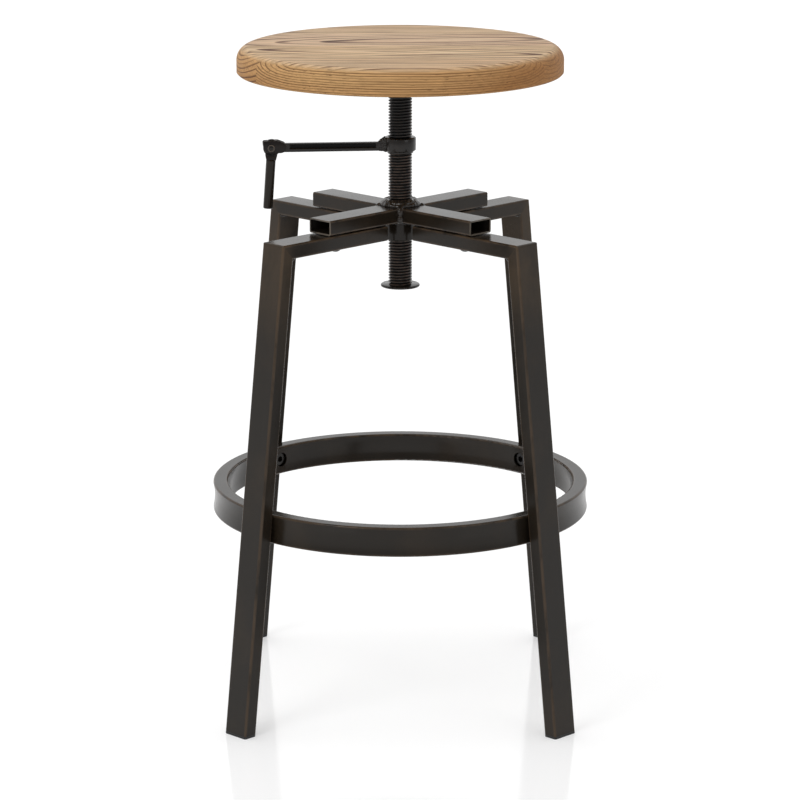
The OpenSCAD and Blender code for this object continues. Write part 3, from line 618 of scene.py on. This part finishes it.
# %% Node group: a board's grain
def make_wood_group():
    """Ring lines, strokes, pale early wood, faded lengths, fibres, pores and slow changes of tone."""
    heart = ("Heart Y", "Heart Z", "Bow", "Bow X", "Drift")
    rings = ("Ring", "Flatness", "Ahead", "Wander", "Seed")
    masks = ("Late", "Streak", "Pale", "Breaks", "Fibre", "Pore", "Tone")
    numbers = [(name, "Float") for name in heart + rings]
    group, given, out = new_group("board_grain", [("Vector", "Vector")] + numbers,
                                  [(name, "Float") for name in masks])
    turns = ring_count(group, given)
    phase = maths(group, "FRACT", turns)
    lasting = smooth(group, stretched(group, given, 45, (0.10, 1, 1), 2, shift=43.0), 0.30, 0.50)
    dashes = smooth(group, stretched(group, given, 1000, (0.05, 0.35, 1), 2, shift=11.0), 0.58, 0.70)
    made = {
        "Late": late_wood(group, given, turns, phase),
        "Streak": strokes(group, given, lasting),
        "Pale": times(group, smooth(group, phase, 0.45, 0.02), lasting),
        "Breaks": smooth(group, stretched(group, given, 40, (0.22, 1, 1), 2, shift=23.0), 0.40, 0.58),
        "Fibre": stretched(group, given, 210, (0.05, 1, 3.2), 5, 0.8, 7.0),
        "Pore": times(group, dashes, smooth(group, phase, 0.50, 0.15)),
        "Tone": stretched(group, given, 9, (0.5, 1, 1), 2, shift=17.0),
    }
    for socket, value in made.items():
        group.links.new(value, out[socket])
    return group


wood_group = make_wood_group()
print("node group", wood_group.name, "with", len(wood_group.nodes), "nodes")

# %% [markdown]
# The sanded top of an oiled board is painted paler and greyer than its rim, where the cut shows golden:
# that paleness is a painted sheen of the light that grazes the top. One solid grain for both would be
# simplest, but no single heart gives these boards the close lines of the rim and the wide ones of the top.
# So each board has one grain for its rim and one for its top, and the way a point faces chooses between
# them, and between the rim's colour and the top's painted sheen. The lines fade where the edge rounds over,
# which hides the change.

# %% Rim and top of a board
top_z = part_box("seat_board_front")[1].z


def board_grain(tree, place, values):
    """The grain group with one board's values, and its outputs."""
    made = add(tree, "ShaderNodeGroup", node_tree=wood_group)
    tree.links.new(place, made.inputs["Vector"])
    for socket, value in values.items():
        made.inputs[socket].default_value = value
    return made.outputs


def ring_lines(tree, rim, top, on_top, right_end_shade):
    """How dark the ring lines are, from the grains of the rim and of the top."""
    faded = times(tree, maths(tree, "SUBTRACT", 1.0, rim["Breaks"]), 0.4)
    kept = maths(tree, "SUBTRACT", 1.0, times(tree, faded, on_top))
    # Lines are fainter at the right end, where the rim is painted in shade.
    kept = times(tree, kept, scaled(tree, right_end_shade, -0.5, 0.92))
    top_late = times(tree, top["Late"], 1.3)
    late = add(tree, "ShaderNodeMix", {0: on_top, 2: rim["Late"], 3: top_late}).outputs[0]
    turning = times(tree, on_top, maths(tree, "SUBTRACT", 1.0, on_top))
    late = times(tree, late, scaled(tree, turning, -2.4, 1.0))
    return times(tree, late, kept)


def tinted(tree, share, colour, tint):
    """A colour multiplied by a tint, as far as a mask says."""
    return mix(tree, share, colour, mix(tree, 1.0, colour, tint, "MULTIPLY"))


print("the boards' top is at", round(top_z / mm, 1), "mm")

# %% [markdown]
# A board's colour is laid up as a finisher would see it: pale wood, paler on top as a painted sheen, dark
# lines and strokes, cream early wood, a rosy tone here and there, a darker, browner left end, painted shade
# at the right end and low down the rim, then fibres and pores. The pores are also pressed in a little and
# the lines stand out, which breaks up the gloss.

# %% Colours and tints of the boards
rim_gold = linear(206, 162, 108)
rim_line = linear(86, 52, 25)
early_cream = linear(233, 204, 167)
pore_brown = linear(78, 48, 24)
rosy_tint = (0.86, 0.74, 0.66, 1)
shade_tint = (0.66, 0.53, 0.41, 1)


def toned(tree, wood, grain, facing, height, right_end_shade):
    """Rosy patches all over, a darker, browner left end, and painted shade at the rim's right end and
    towards its lower edge.
    """
    rosy = times(tree, smooth(tree, grain["Tone"], 0.42, 0.70), 0.35)
    wood = tinted(tree, rosy, wood, rosy_tint)
    # The left end is darker; the right end and the rim's lower edge get painted shade.
    left_end = times(tree, smooth(tree, facing["X"], -0.45, -1.0), 0.42)
    low_rim_shade = times(tree, smooth(tree, height, top_z - 12 * mm, top_z - 25 * mm), 0.30)
    rim_shade = maths(tree, "ADD", maths(tree, "ADD", left_end, right_end_shade), low_rim_shade)
    return tinted(tree, maths(tree, "MINIMUM", rim_shade, 1.0), wood, shade_tint)


print("colours and tints of the boards are ready")

# %% [markdown]
# All of that comes together in one material for each board. A picture of wood wrapped round the seat
# would be quicker, but it would smear at the rim, while a solid grain runs through the edge as it does in
# real wood.

# %% Board finish
def board_wood(name, rim_values, top_values, top_sheen_pale, top_line):
    """One board's oiled wood."""
    made, tree, shader = new_material(name)
    place, axes = own_place(tree)
    normal = add(tree, "ShaderNodeNewGeometry").outputs["Normal"]
    facing = add(tree, "ShaderNodeSeparateXYZ", {0: normal}).outputs
    on_top = smooth(tree, facing["Z"], 0.66, 0.985)
    right_end_shade = smooth(tree, facing["X"], 0.12, 0.85)
    rim = board_grain(tree, place, rim_values)
    top = board_grain(tree, place, top_values)
    late = ring_lines(tree, rim, top, on_top, right_end_shade)
    dark = mix(tree, on_top, rim_line, top_line)
    # The top gets its own paler colour, a painted sheen, while the rim keeps the wood's gold.
    wood = mix(tree, late, mix(tree, on_top, rim_gold, top_sheen_pale), dark)
    wood = mix(tree, times(tree, rim["Streak"], scaled(tree, on_top, 0.78, 0.08)), wood, dark)
    wood = mix(tree, times(tree, times(tree, top["Pale"], on_top), 0.45), wood, early_cream)
    wood = toned(tree, wood, rim, facing, axes["Z"], right_end_shade)
    fibre = scaled(tree, rim["Fibre"], 1.65, 0.19)
    grey = add(tree, "ShaderNodeCombineColor", {"Red": fibre, "Green": fibre, "Blue": fibre}).outputs[0]
    wood = mix(tree, 1.0, wood, grey, "MULTIPLY")
    wood = mix(tree, times(tree, rim["Pore"], scaled(tree, on_top, -0.35, 0.85)), wood, pore_brown)
    relief = maths(tree, "SUBTRACT", times(tree, late, 0.6), rim["Pore"])
    bump = add(tree, "ShaderNodeBump", {"Strength": 0.25, "Distance": 0.3 * mm, "Height": relief})
    tree.links.new(wood, shader.inputs["Base Color"])
    tree.links.new(scaled(tree, rim["Fibre"], 0.2, 0.52), shader.inputs["Roughness"])
    tree.links.new(bump.outputs[0], shader.inputs["Normal"])
    shader.inputs["Specular IOR Level"].default_value = 0.25
    return made


print("the finish of a board is ready")

# %% [markdown]
# Where the heart of the tree lies decides what a board shows. With the heart far below the board, its
# lines run straight. With the heart just above the board's middle they make arches. Wider rings spread
# them further apart. The numbers below were chosen board by board.

# %% The four boards
def grain_of(heart_y, above_top, ring, flatness, bow, bow_x, seed, wander, ahead=1.0, drift=0.0):
    """The named values of one board's grain, from millimetres. The bow is the rise 100 mm from its middle.
    Ahead is how steeply the rings bend on the near side of the heart, against the far side.
    Drift is how far the heart moves along Y for each unit along X."""
    return {"Heart Y": heart_y * mm, "Heart Z": top_z + above_top * mm, "Ring": ring * mm,
            "Flatness": flatness, "Ahead": ahead, "Bow": bow * mm / (100 * mm) ** 2, "Bow X": bow_x * mm,
            "Drift": drift, "Seed": seed, "Wander": wander * mm}


def dress(names, material):
    """Gives CAD nodes one finish in place of the plain one they come with."""
    for name in names:
        nodes[name].data.materials.clear()
        nodes[name].data.materials.append(material)


# The third colour of each board is its top, painted paler as a sheen; the fourth is the top's dark line.
boards = {
    "seat_board_front": (
        grain_of(-126, 4, 2.45, 2.5, 0.1, 0, 2.0, 3, ahead=0.22),
        grain_of(-262, -20, 7.6, 1.0, 0.5, 60, 2.0, 9, drift=0.03),
        linear(213, 179, 138), linear(98, 60, 32)),
    "seat_board_mid_front": (
        grain_of(-44, 6, 4.2, 2.3, 1.5, 0, 5.0, 5, drift=-0.12),
        grain_of(-44, 6, 3.5, 2.3, 1.5, 0, 5.0, 5, drift=-0.12),
        linear(214, 182, 141), linear(98, 60, 32)),
    "seat_board_mid_rear": (
        grain_of(70, -70, 4.0, 1.6, 0.8, 30, 9.0, 8),
        grain_of(36, 7, 3.6, 2.5, 2.2, 45, 9.0, 6, drift=0.10),
        linear(210, 178, 145), linear(92, 58, 36)),
    "seat_board_rear": (
        grain_of(118, 12, 3.8, 3.0, 1.2, 60, 14.0, 8),
        grain_of(20, -20, 8.0, 1.0, 0.6, -50, 14.0, 9),
        linear(214, 182, 144), linear(84, 52, 30)),
}
for board_name, values in boards.items():
    dress([board_name], board_wood(board_name + "_wood", *values))
print("boards:", len(boards))

# %% [markdown]
# The small pieces are modelled the way a hand would in Blender: add a primitive, go into edit mode, and
# shape it. These helpers keep that short. Everything is deselected before a primitive is added, because
# operators act on all that is selected. Each finished piece has its place applied, so its object sits at
# the origin.

# %% Helpers for editing
def fresh(name):
    """Names the piece that an operator has just made."""
    made = bpy.context.object
    made.name = name
    made.data.name = name
    return made


def only(piece):
    """Selects one piece and nothing else."""
    bpy.ops.object.select_all(action="DESELECT")
    piece.select_set(True)
    bpy.context.view_layer.objects.active = piece


def edit(piece):
    """Goes into edit mode on a piece, with all of it selected."""
    only(piece)
    bpy.ops.object.mode_set(mode="EDIT")
    bpy.ops.mesh.select_all(action="SELECT")


def done():
    """Leaves edit mode."""
    bpy.ops.object.mode_set(mode="OBJECT")


def apply_place():
    """Puts the place, turn and scale of what is selected into its mesh."""
    bpy.ops.object.transform_apply(location=True, rotation=True, scale=True)


def settle(piece, turn=0.0, tip=0.0, place=(0, 0, 0)):
    """Turns a piece about X by tip and then about Z, moves it, and puts that into its mesh."""
    only(piece)
    piece.rotation_euler = (tip, 0, turn)
    piece.location = place
    apply_place()
    return piece


print("helpers for editing are ready")

# %% [markdown]
# Modifiers do what would take many clicks, and are applied at once, so that the mesh itself is the result.
# At the end every piece is smoothed, gets its finish, is fixed to the body of the stool it moves with, and
# hides the CAD node it stands for.

# %% Helpers for modifiers, joining and finishing
def modify(piece, kind, **settings):
    """Adds a modifier with its settings and applies it."""
    only(piece)
    made = piece.modifiers.new(kind.lower(), kind)
    for name, value in settings.items():
        setattr(made, name, value)
    bpy.ops.object.modifier_apply(modifier=made.name)


def joined(name, pieces):
    """Joins pieces into the first one."""
    bpy.ops.object.select_all(action="DESELECT")
    for piece in pieces:
        piece.select_set(True)
    bpy.context.view_layer.objects.active = pieces[0]
    bpy.ops.object.join()
    return fresh(name)


def finish(piece, body, material, replaced, angle=35):
    """Smooths a piece, gives it a finish if it has none, and fixes it to its body for a CAD node."""
    only(piece)
    bpy.ops.object.shade_smooth_by_angle(angle=radians(angle))
    if not piece.data.materials:
        piece.data.materials.append(material)
    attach(piece, body)
    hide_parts(replaced)
    print(piece.name, "has", len(piece.data.polygons), "faces")


print("helpers for finishing are ready")

# %% [markdown]
# Screw, collar, washer, pin and bar are all turned on a lathe. A cylinder with bevels would do for some
# of them, but a lathe is closer to the real thing: draw half the section as a line, and spin it round the
# axis. The line is one vertex, extruded from point to point, and the spin's last copy is merged with the
# first.

# %% Drawing a line and turning it
weld_distance = 0.005 * mm


def drawn_line(name, points):
    """Draws a line of points in the XZ plane."""
    bpy.ops.object.select_all(action="DESELECT")
    bpy.ops.mesh.primitive_plane_add(size=mm, location=(0, 0, 0))
    made = fresh(name)
    edit(made)
    bpy.ops.mesh.merge(type="CENTER")
    bpy.ops.transform.translate(value=(points[0][0], 0, points[0][1]))
    for (x, z), (next_x, next_z) in zip(points, points[1:]):
        bpy.ops.mesh.extrude_region_move(TRANSFORM_OT_translate={"value": (next_x - x, 0, next_z - z)})
    done()
    return made


def turned(name, half_section, steps=64):
    """A piece as from a lathe: half its section, spun round the Z axis."""
    made = drawn_line(name, half_section)
    edit(made)
    bpy.ops.mesh.spin(steps=steps, angle=2 * pi, center=(0, 0, 0), axis=(0, 0, 1))
    bpy.ops.mesh.select_all(action="SELECT")
    bpy.ops.mesh.remove_doubles(threshold=weld_distance)
    bpy.ops.mesh.normals_make_consistent(inside=False)
    done()
    return made


print("the lathe is ready")

# %% [markdown]
# The lift screw is a trapezoid thread of 3 mm pitch, cut right-handed. Rings would look the same from
# afar, but a real helix climbs, and that shows at the thread's outline. One ridge is drawn as a line from
# groove to groove, and the Screw modifier sweeps it up round the axis, so that each turn ends where the
# next one starts.

# %% Thread of the lift screw
screw_low_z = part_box("lift_screw")[0].z
shoulder_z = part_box("bearing_lower_race")[0].z
crest_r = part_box("lift_screw")[1].x
root_r = crest_r - 1.84 * mm
pitch = 3 * mm
merge_distance = 0.01 * mm

ridge = [(root_r, 0), (root_r, 0.04), (crest_r, 0.36), (crest_r, 0.64), (root_r, 0.96), (root_r, 1)]
thread = drawn_line("thread", [(r, screw_low_z + (share - 1) * pitch) for r, share in ridge])
thread_turns = int((shoulder_z - screw_low_z) / pitch) + 3
modify(thread, "SCREW", axis="Z", screw_offset=pitch, iterations=thread_turns, steps=48, render_steps=48,
       use_merge_vertices=True, merge_threshold=merge_distance)
print("thread of", thread_turns, "turns, from radius", round(root_r / mm, 2), "to", round(crest_r / mm, 2))

# %% [markdown]
# The thread is a turn or so too long at each end. A lathe would face both ends off, and here two
# bisections do that and close them. The plain journal that carries the bearing, with the groove of its
# clip, is turned by itself and joined on top. It starts a little inside the thread, so that no gap can
# show.

# %% Ends and journal of the lift screw
journal_top_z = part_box("lift_screw")[1].z
clip_low_z, clip_high_z = (corner.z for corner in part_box("retaining_ring"))
journal_r = 10 * mm
groove_r = journal_r - 0.8 * mm
sunk_z = shoulder_z - 2 * mm

edit(thread)
bpy.ops.mesh.remove_doubles(threshold=merge_distance)
bpy.ops.mesh.bisect(plane_co=(0, 0, screw_low_z), plane_no=(0, 0, 1), use_fill=True, clear_inner=True)
bpy.ops.mesh.select_all(action="SELECT")
bpy.ops.mesh.bisect(plane_co=(0, 0, shoulder_z), plane_no=(0, 0, 1), use_fill=True, clear_outer=True)
bpy.ops.mesh.select_all(action="SELECT")
bpy.ops.mesh.normals_make_consistent(inside=False)
done()
journal = turned("journal", [
    (0, sunk_z), (journal_r, sunk_z), (journal_r, clip_low_z), (groove_r, clip_low_z),
    (groove_r, clip_high_z), (journal_r, clip_high_z), (journal_r, journal_top_z - 1 * mm),
    (journal_r - 1 * mm, journal_top_z), (0, journal_top_z)])
lift_screw = joined("cut_lift_screw", [thread, journal])
finish(lift_screw, "screw", oiled_thread, "lift_screw", angle=30)

# %% [markdown]
# The crank is welded to a collar on the screw, and a washer stops the screw at the top of its travel.
# Both are turned. What makes them look real is the eased edge, which catches a thin line of light, so their
# section has a chamfer with a small round at either end of it. Under the collar stands a thin lip.

# %% Collar
collar_low_z, collar_high_z = (corner.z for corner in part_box("crank_collar"))
collar_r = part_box("crank_collar")[1].x
bore_r = crest_r + 0.05 * mm


def eased_tube(name, low_z, high_z, inner_r, outer_r, chamfer, lip=()):
    """A turned tube with a chamfer and small rounds at its outer edges, and with a lip if one is drawn."""
    soft = 0.3 * chamfer
    nick = 0.15 * chamfer
    edge = [(chamfer + soft, 0), (chamfer, nick), (nick, chamfer), (0, chamfer + soft)]
    lower = [(outer_r - inwards, low_z + up) for inwards, up in edge]
    upper = [(outer_r - inwards, high_z - down) for inwards, down in reversed(edge)]
    return turned(name, [(inner_r, low_z), *lip, *lower, *upper, (inner_r, high_z), (inner_r, low_z)])


lip_r = crest_r + 1.4 * mm
lip_z = collar_low_z - 2.3 * mm
lip_ease = 0.5 * mm
collar_lip = [(bore_r, lip_z), (lip_r - lip_ease, lip_z), (lip_r, lip_z + lip_ease), (lip_r, collar_low_z)]
collar_ease = 0.9 * mm
collar = eased_tube("turned_collar", collar_low_z, collar_high_z, bore_r, collar_r, collar_ease, collar_lip)
finish(collar, "screw", black_steel, "crank_collar")

# %% [markdown]
# The washer under the screw is the same shape, only flat and wide, so the same function turns it.
# Its bore is for the stop screw, which keeps its CAD shape.

# %% Washer
washer_low_z, washer_high_z = (corner.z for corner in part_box("stop_washer"))
washer_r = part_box("stop_washer")[1].x
washer_bore_r = 4.3 * mm
washer_ease = 0.6 * mm
washer = eased_tube("turned_washer", washer_low_z, washer_high_z, washer_bore_r, washer_r, washer_ease)
finish(washer, "screw", black_steel, "stop_washer")

# %% [markdown]
# The crank stands out from the screw to the left, turned a little towards the camera. Its pieces are
# drawn along +X with the arm's middle at zero, which keeps their numbers simple, and are moved there when
# finished.

# %% Place of the crank
crank_turn = radians(180 + 5)
crank_z = 573.1 * mm
pin_out = 131 * mm


def on_crank(piece):
    """Moves a piece that was drawn along +X, with the arm's middle at z = 0, to the crank."""
    return settle(piece, turn=crank_turn, place=(0, 0, crank_z))


print("the grip's pin is", round(pin_out / mm), "mm from the screw's axis")

# %% [markdown]
# The crank arm is a forged bar with a long hollow in each side. A Boolean could cut the hollows, but it
# leaves sharp, untidy edges. Here a box is added, both its wide sides are inset, the inset faces are
# shortened and pressed in, and a bevel then rounds what a hammer and a wire brush would.

# %% Crank arm
arm_h = 9 * mm
arm_t = 5 * mm
arm_from = collar_r - 0.4 * mm
arm_to = pin_out - 9.5 * mm
arm_l = arm_to - arm_from
arm_middle = ((arm_from + arm_to) / 2, 0, 0)
arm_ease = 0.7 * mm
hollow_end = 9 * mm
hollow_rim = 1.6 * mm
hollow_lower = 0.82
hollow_rise = 0.9 * mm
hollow_slope = 0.4 * mm
hollow_depth = 1.1 * mm

bpy.ops.object.select_all(action="DESELECT")
bpy.ops.mesh.primitive_cube_add(size=1, location=arm_middle, scale=(arm_l, arm_t, arm_h))
arm = fresh("forged_arm")
apply_place()
arm.data.materials.append(black_steel)
arm.data.materials.append(hollow_shade_black)
bpy.context.tool_settings.mesh_select_mode = (False, False, True)
edit(arm)
bpy.ops.mesh.select_all(action="DESELECT")
done()
for face in arm.data.polygons:
    face.select = abs(face.normal.y) > 0.9
bpy.ops.object.mode_set(mode="EDIT")
bpy.ops.mesh.inset(thickness=hollow_rim)
shorter = (arm_l - 2 * hollow_end) / (arm_l - 2 * hollow_rim)
bpy.ops.transform.resize(value=(shorter, 1, hollow_lower), center_override=arm_middle)
bpy.ops.transform.translate(value=(0, 0, hollow_rise))
bpy.ops.mesh.inset(thickness=hollow_slope)
bpy.ops.transform.shrink_fatten(value=-hollow_depth)
# The hollow's faces get the near-black finish, a painted shade.
arm.active_material_index = 1
bpy.ops.object.material_slot_assign()
bpy.context.tool_settings.mesh_select_mode = (True, False, False)
done()
modify(arm, "BEVEL", width=arm_ease, segments=3, limit_method="ANGLE", angle_limit=radians(30))
finish(on_crank(arm), "screw", black_steel, "crank_arm")

# %% [markdown]
# The fork and the grip have flat parts, which are cut from plate or forged flat. Their outline is drawn
# point by point, its corners are rounded, and only then it gets its thickness. The eased edges get a
# second material, because that is where hands and tools rub the black off, and its lighter colour also
# paints the highlight that such edges catch.

# %% Flat pieces
def slab(name, outline, thickness, corner_r, edge_r):
    """A flat piece with a drawn outline in the XZ plane, its corners rounded and its edges eased."""
    made = drawn_line(name, outline + outline[:1])
    made.data.materials.append(forged_black)
    made.data.materials.append(rubbed_and_lit_steel)
    edit(made)
    bpy.ops.mesh.remove_doubles(threshold=weld_distance)
    if corner_r:
        bpy.ops.mesh.bevel(offset=corner_r, segments=5, affect="VERTICES")
        bpy.ops.mesh.select_all(action="SELECT")
    bpy.ops.mesh.edge_face_add()
    bpy.ops.transform.translate(value=(0, -thickness / 2, 0))
    bpy.ops.mesh.extrude_region_move(TRANSFORM_OT_translate={"value": (0, thickness, 0)})
    bpy.ops.mesh.select_all(action="SELECT")
    bpy.ops.mesh.normals_make_consistent(inside=False)
    done()
    modify(made, "BEVEL", width=edge_r, segments=2, material=1,
           limit_method="ANGLE", angle_limit=radians(50))
    return made


print("flat pieces are eased with", rubbed_and_lit_steel.name)

# %% [markdown]
# Two lozenge cheeks make the fork at the crank's end, one on each side of the arm. A lozenge has no
# formula, so its nine corners are listed one by one, in millimetres from the pin. Both cheeks are the same,
# and are joined.

# %% Fork
cheek_t = 2 * mm
cheek_corner_r = 1.6 * mm
cheek_ease = 0.45 * mm
lozenge = [(8.6, 7.0), (0, 7.7), (-6.6, 7.9), (-14.4, 4.8), (-15.6, 0), (-14.4, -3.6), (-10.4, -5.2),
           (5.6, -5.2), (8.3, 1.8)]
cheeks = []
for side in (-1, 1):
    cheek = slab("cheek", [(x * mm, z * mm) for x, z in lozenge], cheek_t, cheek_corner_r, cheek_ease)
    cheeks.append(settle(cheek, place=(pin_out, side * (arm_t + cheek_t) / 2, 0)))
fork = joined("fork_cheeks", cheeks)
finish(on_crank(fork), "screw", black_steel, "crank_clevis")

# %% [markdown]
# The grip's pin is riveted over on both sides, which leaves a raised ring round a shallow dish. That is a
# turned shape, so one half of its outline is drawn and mirrored for the other end. The top of the ring is
# worn bright and also painted lighter as its highlight, and those faces are picked by how far they are from
# the axis.

# %% Riveted pin
pin_r = 3 * mm
pin_half = arm_t / 2 + cheek_t
rivet = [(0, 0.5), (1.0, 0.5), (1.6, 0.2), (2.3, 0.2), (2.9, 1.2), (3.3, 1.3), (3.7, 0.9), (3.8, 0)]
upper = [(r * mm, pin_half + h * mm) for r, h in rivet]
lower = [(r, -z) for r, z in reversed(upper)]
pin = turned("riveted_pin", [*upper, (pin_r, pin_half), (pin_r, -pin_half), *lower], steps=32)
pin.data.materials.append(black_steel)
pin.data.materials.append(bare_and_lit_steel)
for face in pin.data.polygons:
    if 2.4 * mm < face.center.xy.length < 3.6 * mm:
        face.material_index = 1
settle(pin, tip=pi / 2, place=(pin_out, 0, 0))
finish(on_crank(pin), "screw", black_steel, "grip_pin")

# %% [markdown]
# The grip hangs on the pin by a flat eye, steps out to a thicker shoulder, and ends in a plain round bar.
# Eye and bar are round, so they are turned. The blade and the shoulder between them are forged flat, so
# they are slabs that draw in towards their lower end. The eye has a real bore for the pin.

# %% Tang of the grip
grip_lean = radians(4)
pin_play = 0.6 * mm
eye_r = 8.7 * mm
eye_t = 4.6 * mm
eye_bore_r = pin_r + 0.05 * mm
eye_ease = 0.5 * mm


def on_grip(piece):
    """Leans a piece that was drawn hanging from the origin, and hangs it on the pin, to the inner side."""
    only(piece)
    piece.rotation_euler = (0, -grip_lean, 0)
    piece.location = (pin_out - pin_play, 0, 0)
    apply_place()
    return on_crank(piece)


def wedge(name, top_z, low_z, top_half_w, low_half_w, thickness, edge_r):
    """A flat block whose sides draw in towards its lower end."""
    outline = [(-top_half_w, top_z), (top_half_w, top_z), (low_half_w, low_z), (-low_half_w, low_z)]
    return slab(name, outline, thickness, 0, edge_r)


half_eye = eye_t / 2
eye = turned("eye", [(eye_bore_r, -half_eye), (eye_r - eye_ease, -half_eye), (eye_r, -half_eye + eye_ease),
                     (eye_r, half_eye - eye_ease), (eye_r - eye_ease, half_eye), (eye_bore_r, half_eye),
                     (eye_bore_r, -half_eye)])
eye.data.materials.append(forged_black)
settle(eye, tip=pi / 2)
blade = wedge("blade", -4.2 * mm, -9.4 * mm, 6.3 * mm, 5.9 * mm, eye_t, 0.5 * mm)
shoulder = wedge("shoulder", -9.0 * mm, -12.8 * mm, 5.7 * mm, 4.9 * mm, 6.4 * mm, 0.7 * mm)
tang = joined("stepped_tang", [eye, blade, shoulder])
finish(on_grip(tang), "grip", black_steel, "grip_tang")

# %% [markdown]
# The bar is what the hand holds, so it has the frame's warm bronze coat and not the black of the crank.
# It is a plain turned rod with its upper edge chamfered more than its lower one.

# %% Bar of the grip
bar_r = 4.9 * mm
bar_top = -12.4 * mm
bar_low = -62.2 * mm
bar = turned("grip_rod", [(0, bar_top), (bar_r - 0.8 * mm, bar_top), (bar_r, bar_top - 0.9 * mm),
                          (bar_r, bar_low + 0.6 * mm), (bar_r - 0.5 * mm, bar_low), (0, bar_low)], steps=48)
finish(on_grip(bar), "grip", part_bronze, "grip_bar")

# %% [markdown]
# Welds hold the hub, the knees and the crank together. A weld is a row of drops that froze as the torch
# moved on. A rough noise on a fillet would look like gravel, so each bead is a row of small spheres of
# uneven size, melted into one skin by a voxel remesh. More smoothing passes melt it further, and leave a
# calmer bead.

# %% Weld beads
chance = random.Random(7)


def weld(name, drops, grain, melts=2):
    """A weld bead: drops at (x, y, z, radius), melted into one bumpy skin by so many smoothings."""
    pieces = []
    for x, y, z, r in drops:
        bpy.ops.object.select_all(action="DESELECT")
        bpy.ops.mesh.primitive_ico_sphere_add(subdivisions=2, radius=r, location=(x, y, z))
        pieces.append(bpy.context.object)
    made = joined(name, pieces)
    apply_place()
    modify(made, "REMESH", mode="VOXEL", voxel_size=grain)
    modify(made, "SMOOTH", factor=0.5, iterations=melts)
    return made


def bead_ring(radius, z, drop_r, count):
    """Drops in a ring round the screw's axis."""
    made = []
    for i in range(count):
        angle = 2 * pi * (i + chance.uniform(-0.2, 0.2)) / count
        r = radius + chance.uniform(-0.2, 0.2) * mm
        made.append((r * cos(angle), r * sin(angle), z + chance.uniform(-0.2, 0.2) * mm,
                     drop_r * chance.uniform(0.91, 1.09)))
    return made


print("the torch is ready")

# %% [markdown]
# The hub's sleeve is welded to the cross tubes all round: three rings of drops make the collar of weld on
# top, one ring closes the joint below, and a short upright bead fills each corner between two tubes. The
# rings overlap closely and are melted long, because the real bead is nearly smooth.

# %% Hub welds
sleeve_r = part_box("hub_sleeve")[1].x
cross_mid_z = (cross_bottom_z + cross_top_z) / 2
notch_r = tube_half_w * sqrt(2) + 0.4 * mm
corner_drops = ((-6.2, 3.4), (-3.6, 4.9), (0.2, 3.3), (3.6, 4.8), (6.0, 3.6))

hub_drops = bead_ring(sleeve_r + 1.7 * mm, cross_top_z + 1.0 * mm, 3.0 * mm, 44)
hub_drops += bead_ring(sleeve_r + 0.3 * mm, cross_top_z + 3.4 * mm, 2.6 * mm, 40)
hub_drops += bead_ring(sleeve_r - 0.7 * mm, cross_top_z + 5.2 * mm, 1.8 * mm, 44)
hub_drops += bead_ring(sleeve_r + 0.5 * mm, cross_bottom_z - 0.8 * mm, 2.4 * mm, 44)
for quarter in range(4):
    angle = quarter * pi / 2
    for height, size in corner_drops:
        r = notch_r + chance.uniform(-0.2, 0.2) * mm
        hub_drops.append((r * cos(angle), r * sin(angle), cross_mid_z + height * mm, size * mm))
hub_beads = weld("hub_weld_beads", hub_drops, 0.45 * mm, melts=9)
finish(hub_beads, "frame", weld_bronze, "hub_welds", angle=60)

# %% [markdown]
# Each knee is mitred and welded in its inside corner, where the arm's underside meets the leg. The bead
# runs straight across the tube, a little short of its rounded edges, and keeps more of its ripple than
# the hub's.

# %% Knee welds
knee_r = foot_r - arm_low_z * tan(lean) - 2 * tube_half_t / cos(lean)
knee_count = 20
knee_half_l = tube_half_w - 2.2 * mm
sunk = 0.7 * mm

knee_drops = []
for quarter in range(4):
    angle = pi / 4 + quarter * pi / 2
    for i in range(knee_count):
        across = (i / (knee_count - 1) - 0.5) * 2 * knee_half_l
        out = knee_r - sunk
        knee_drops.append((out * cos(angle) - across * sin(angle), out * sin(angle) + across * cos(angle),
                           arm_low_z - sunk, 1.9 * mm * chance.uniform(0.88, 1.12)))
knee_beads = weld("knee_weld_beads", knee_drops, 0.5 * mm)
finish(knee_beads, "frame", weld_bronze, "knee_welds", angle=60)

# %% [markdown]
# Where the crank arm meets its collar, weld was laid on until it made a gusset that narrows outwards.
# It is built of five upright walls of drops, each lower, thinner and of smaller drops than the one before.

# %% Weld between crank and collar
wall_count = 5
gusset_l = 7.0 * mm

crank_drops = []
for i in range(wall_count):
    share = i / (wall_count - 1)
    out = collar_r + share * gusset_l
    low = (-3.4 + share * 0.4) * mm
    high = (7.6 - share * 4.6) * mm
    half_w = (5.0 - share * 3.4) * mm
    layers = 6 - i // 2
    for j in range(layers):
        for side in (-1, 0, 1):
            y = side * half_w
            z = low + (high - low) * j / (layers - 1)
            crank_drops.append((sqrt(out ** 2 - y ** 2), y, z,
                                chance.uniform(1.6, 2.3) * mm * (1 - 0.25 * share)))
crank_bead = weld("crank_weld_bead", crank_drops, 0.45 * mm, melts=5)
finish(on_crank(crank_bead), "screw", black_steel, "crank_weld", angle=60)

# %% [markdown]
# All other pieces keep the shape of their CAD solids, which is exact for sawn tube, bolts and inserts.
# They only get a finish here.

# %% Dress the CAD pieces
corners = ["front_left", "front_right", "rear_left", "rear_right"]
dress(["leg_" + c for c in corners], leg_bronze)
dress(["leg_arm_" + c for c in corners], arm_bronze)
dress(["cross_tube_" + c for c in corners], cross_bronze)
dress(["foot_ring"], ring_bronze)
dress(["hub_sleeve", "seat_plate", "bearing_cup"], part_bronze)
dress(["stop_screw", "outer_leg_bolts", "inner_leg_bolts", "ring_bolts"], black_steel)
dress(["outer_inserts", "inner_inserts", "ring_inserts", "wood_screws"], zinc)
dress(["bearing_cage", "retaining_ring"], zinc)
dress(["bearing_upper_race", "bearing_lower_race", "bearing_balls"], bearing_steel)
dress(["foot_" + c for c in corners], foot_plastic)
print("dressed the rest of", len(nodes), "nodes")
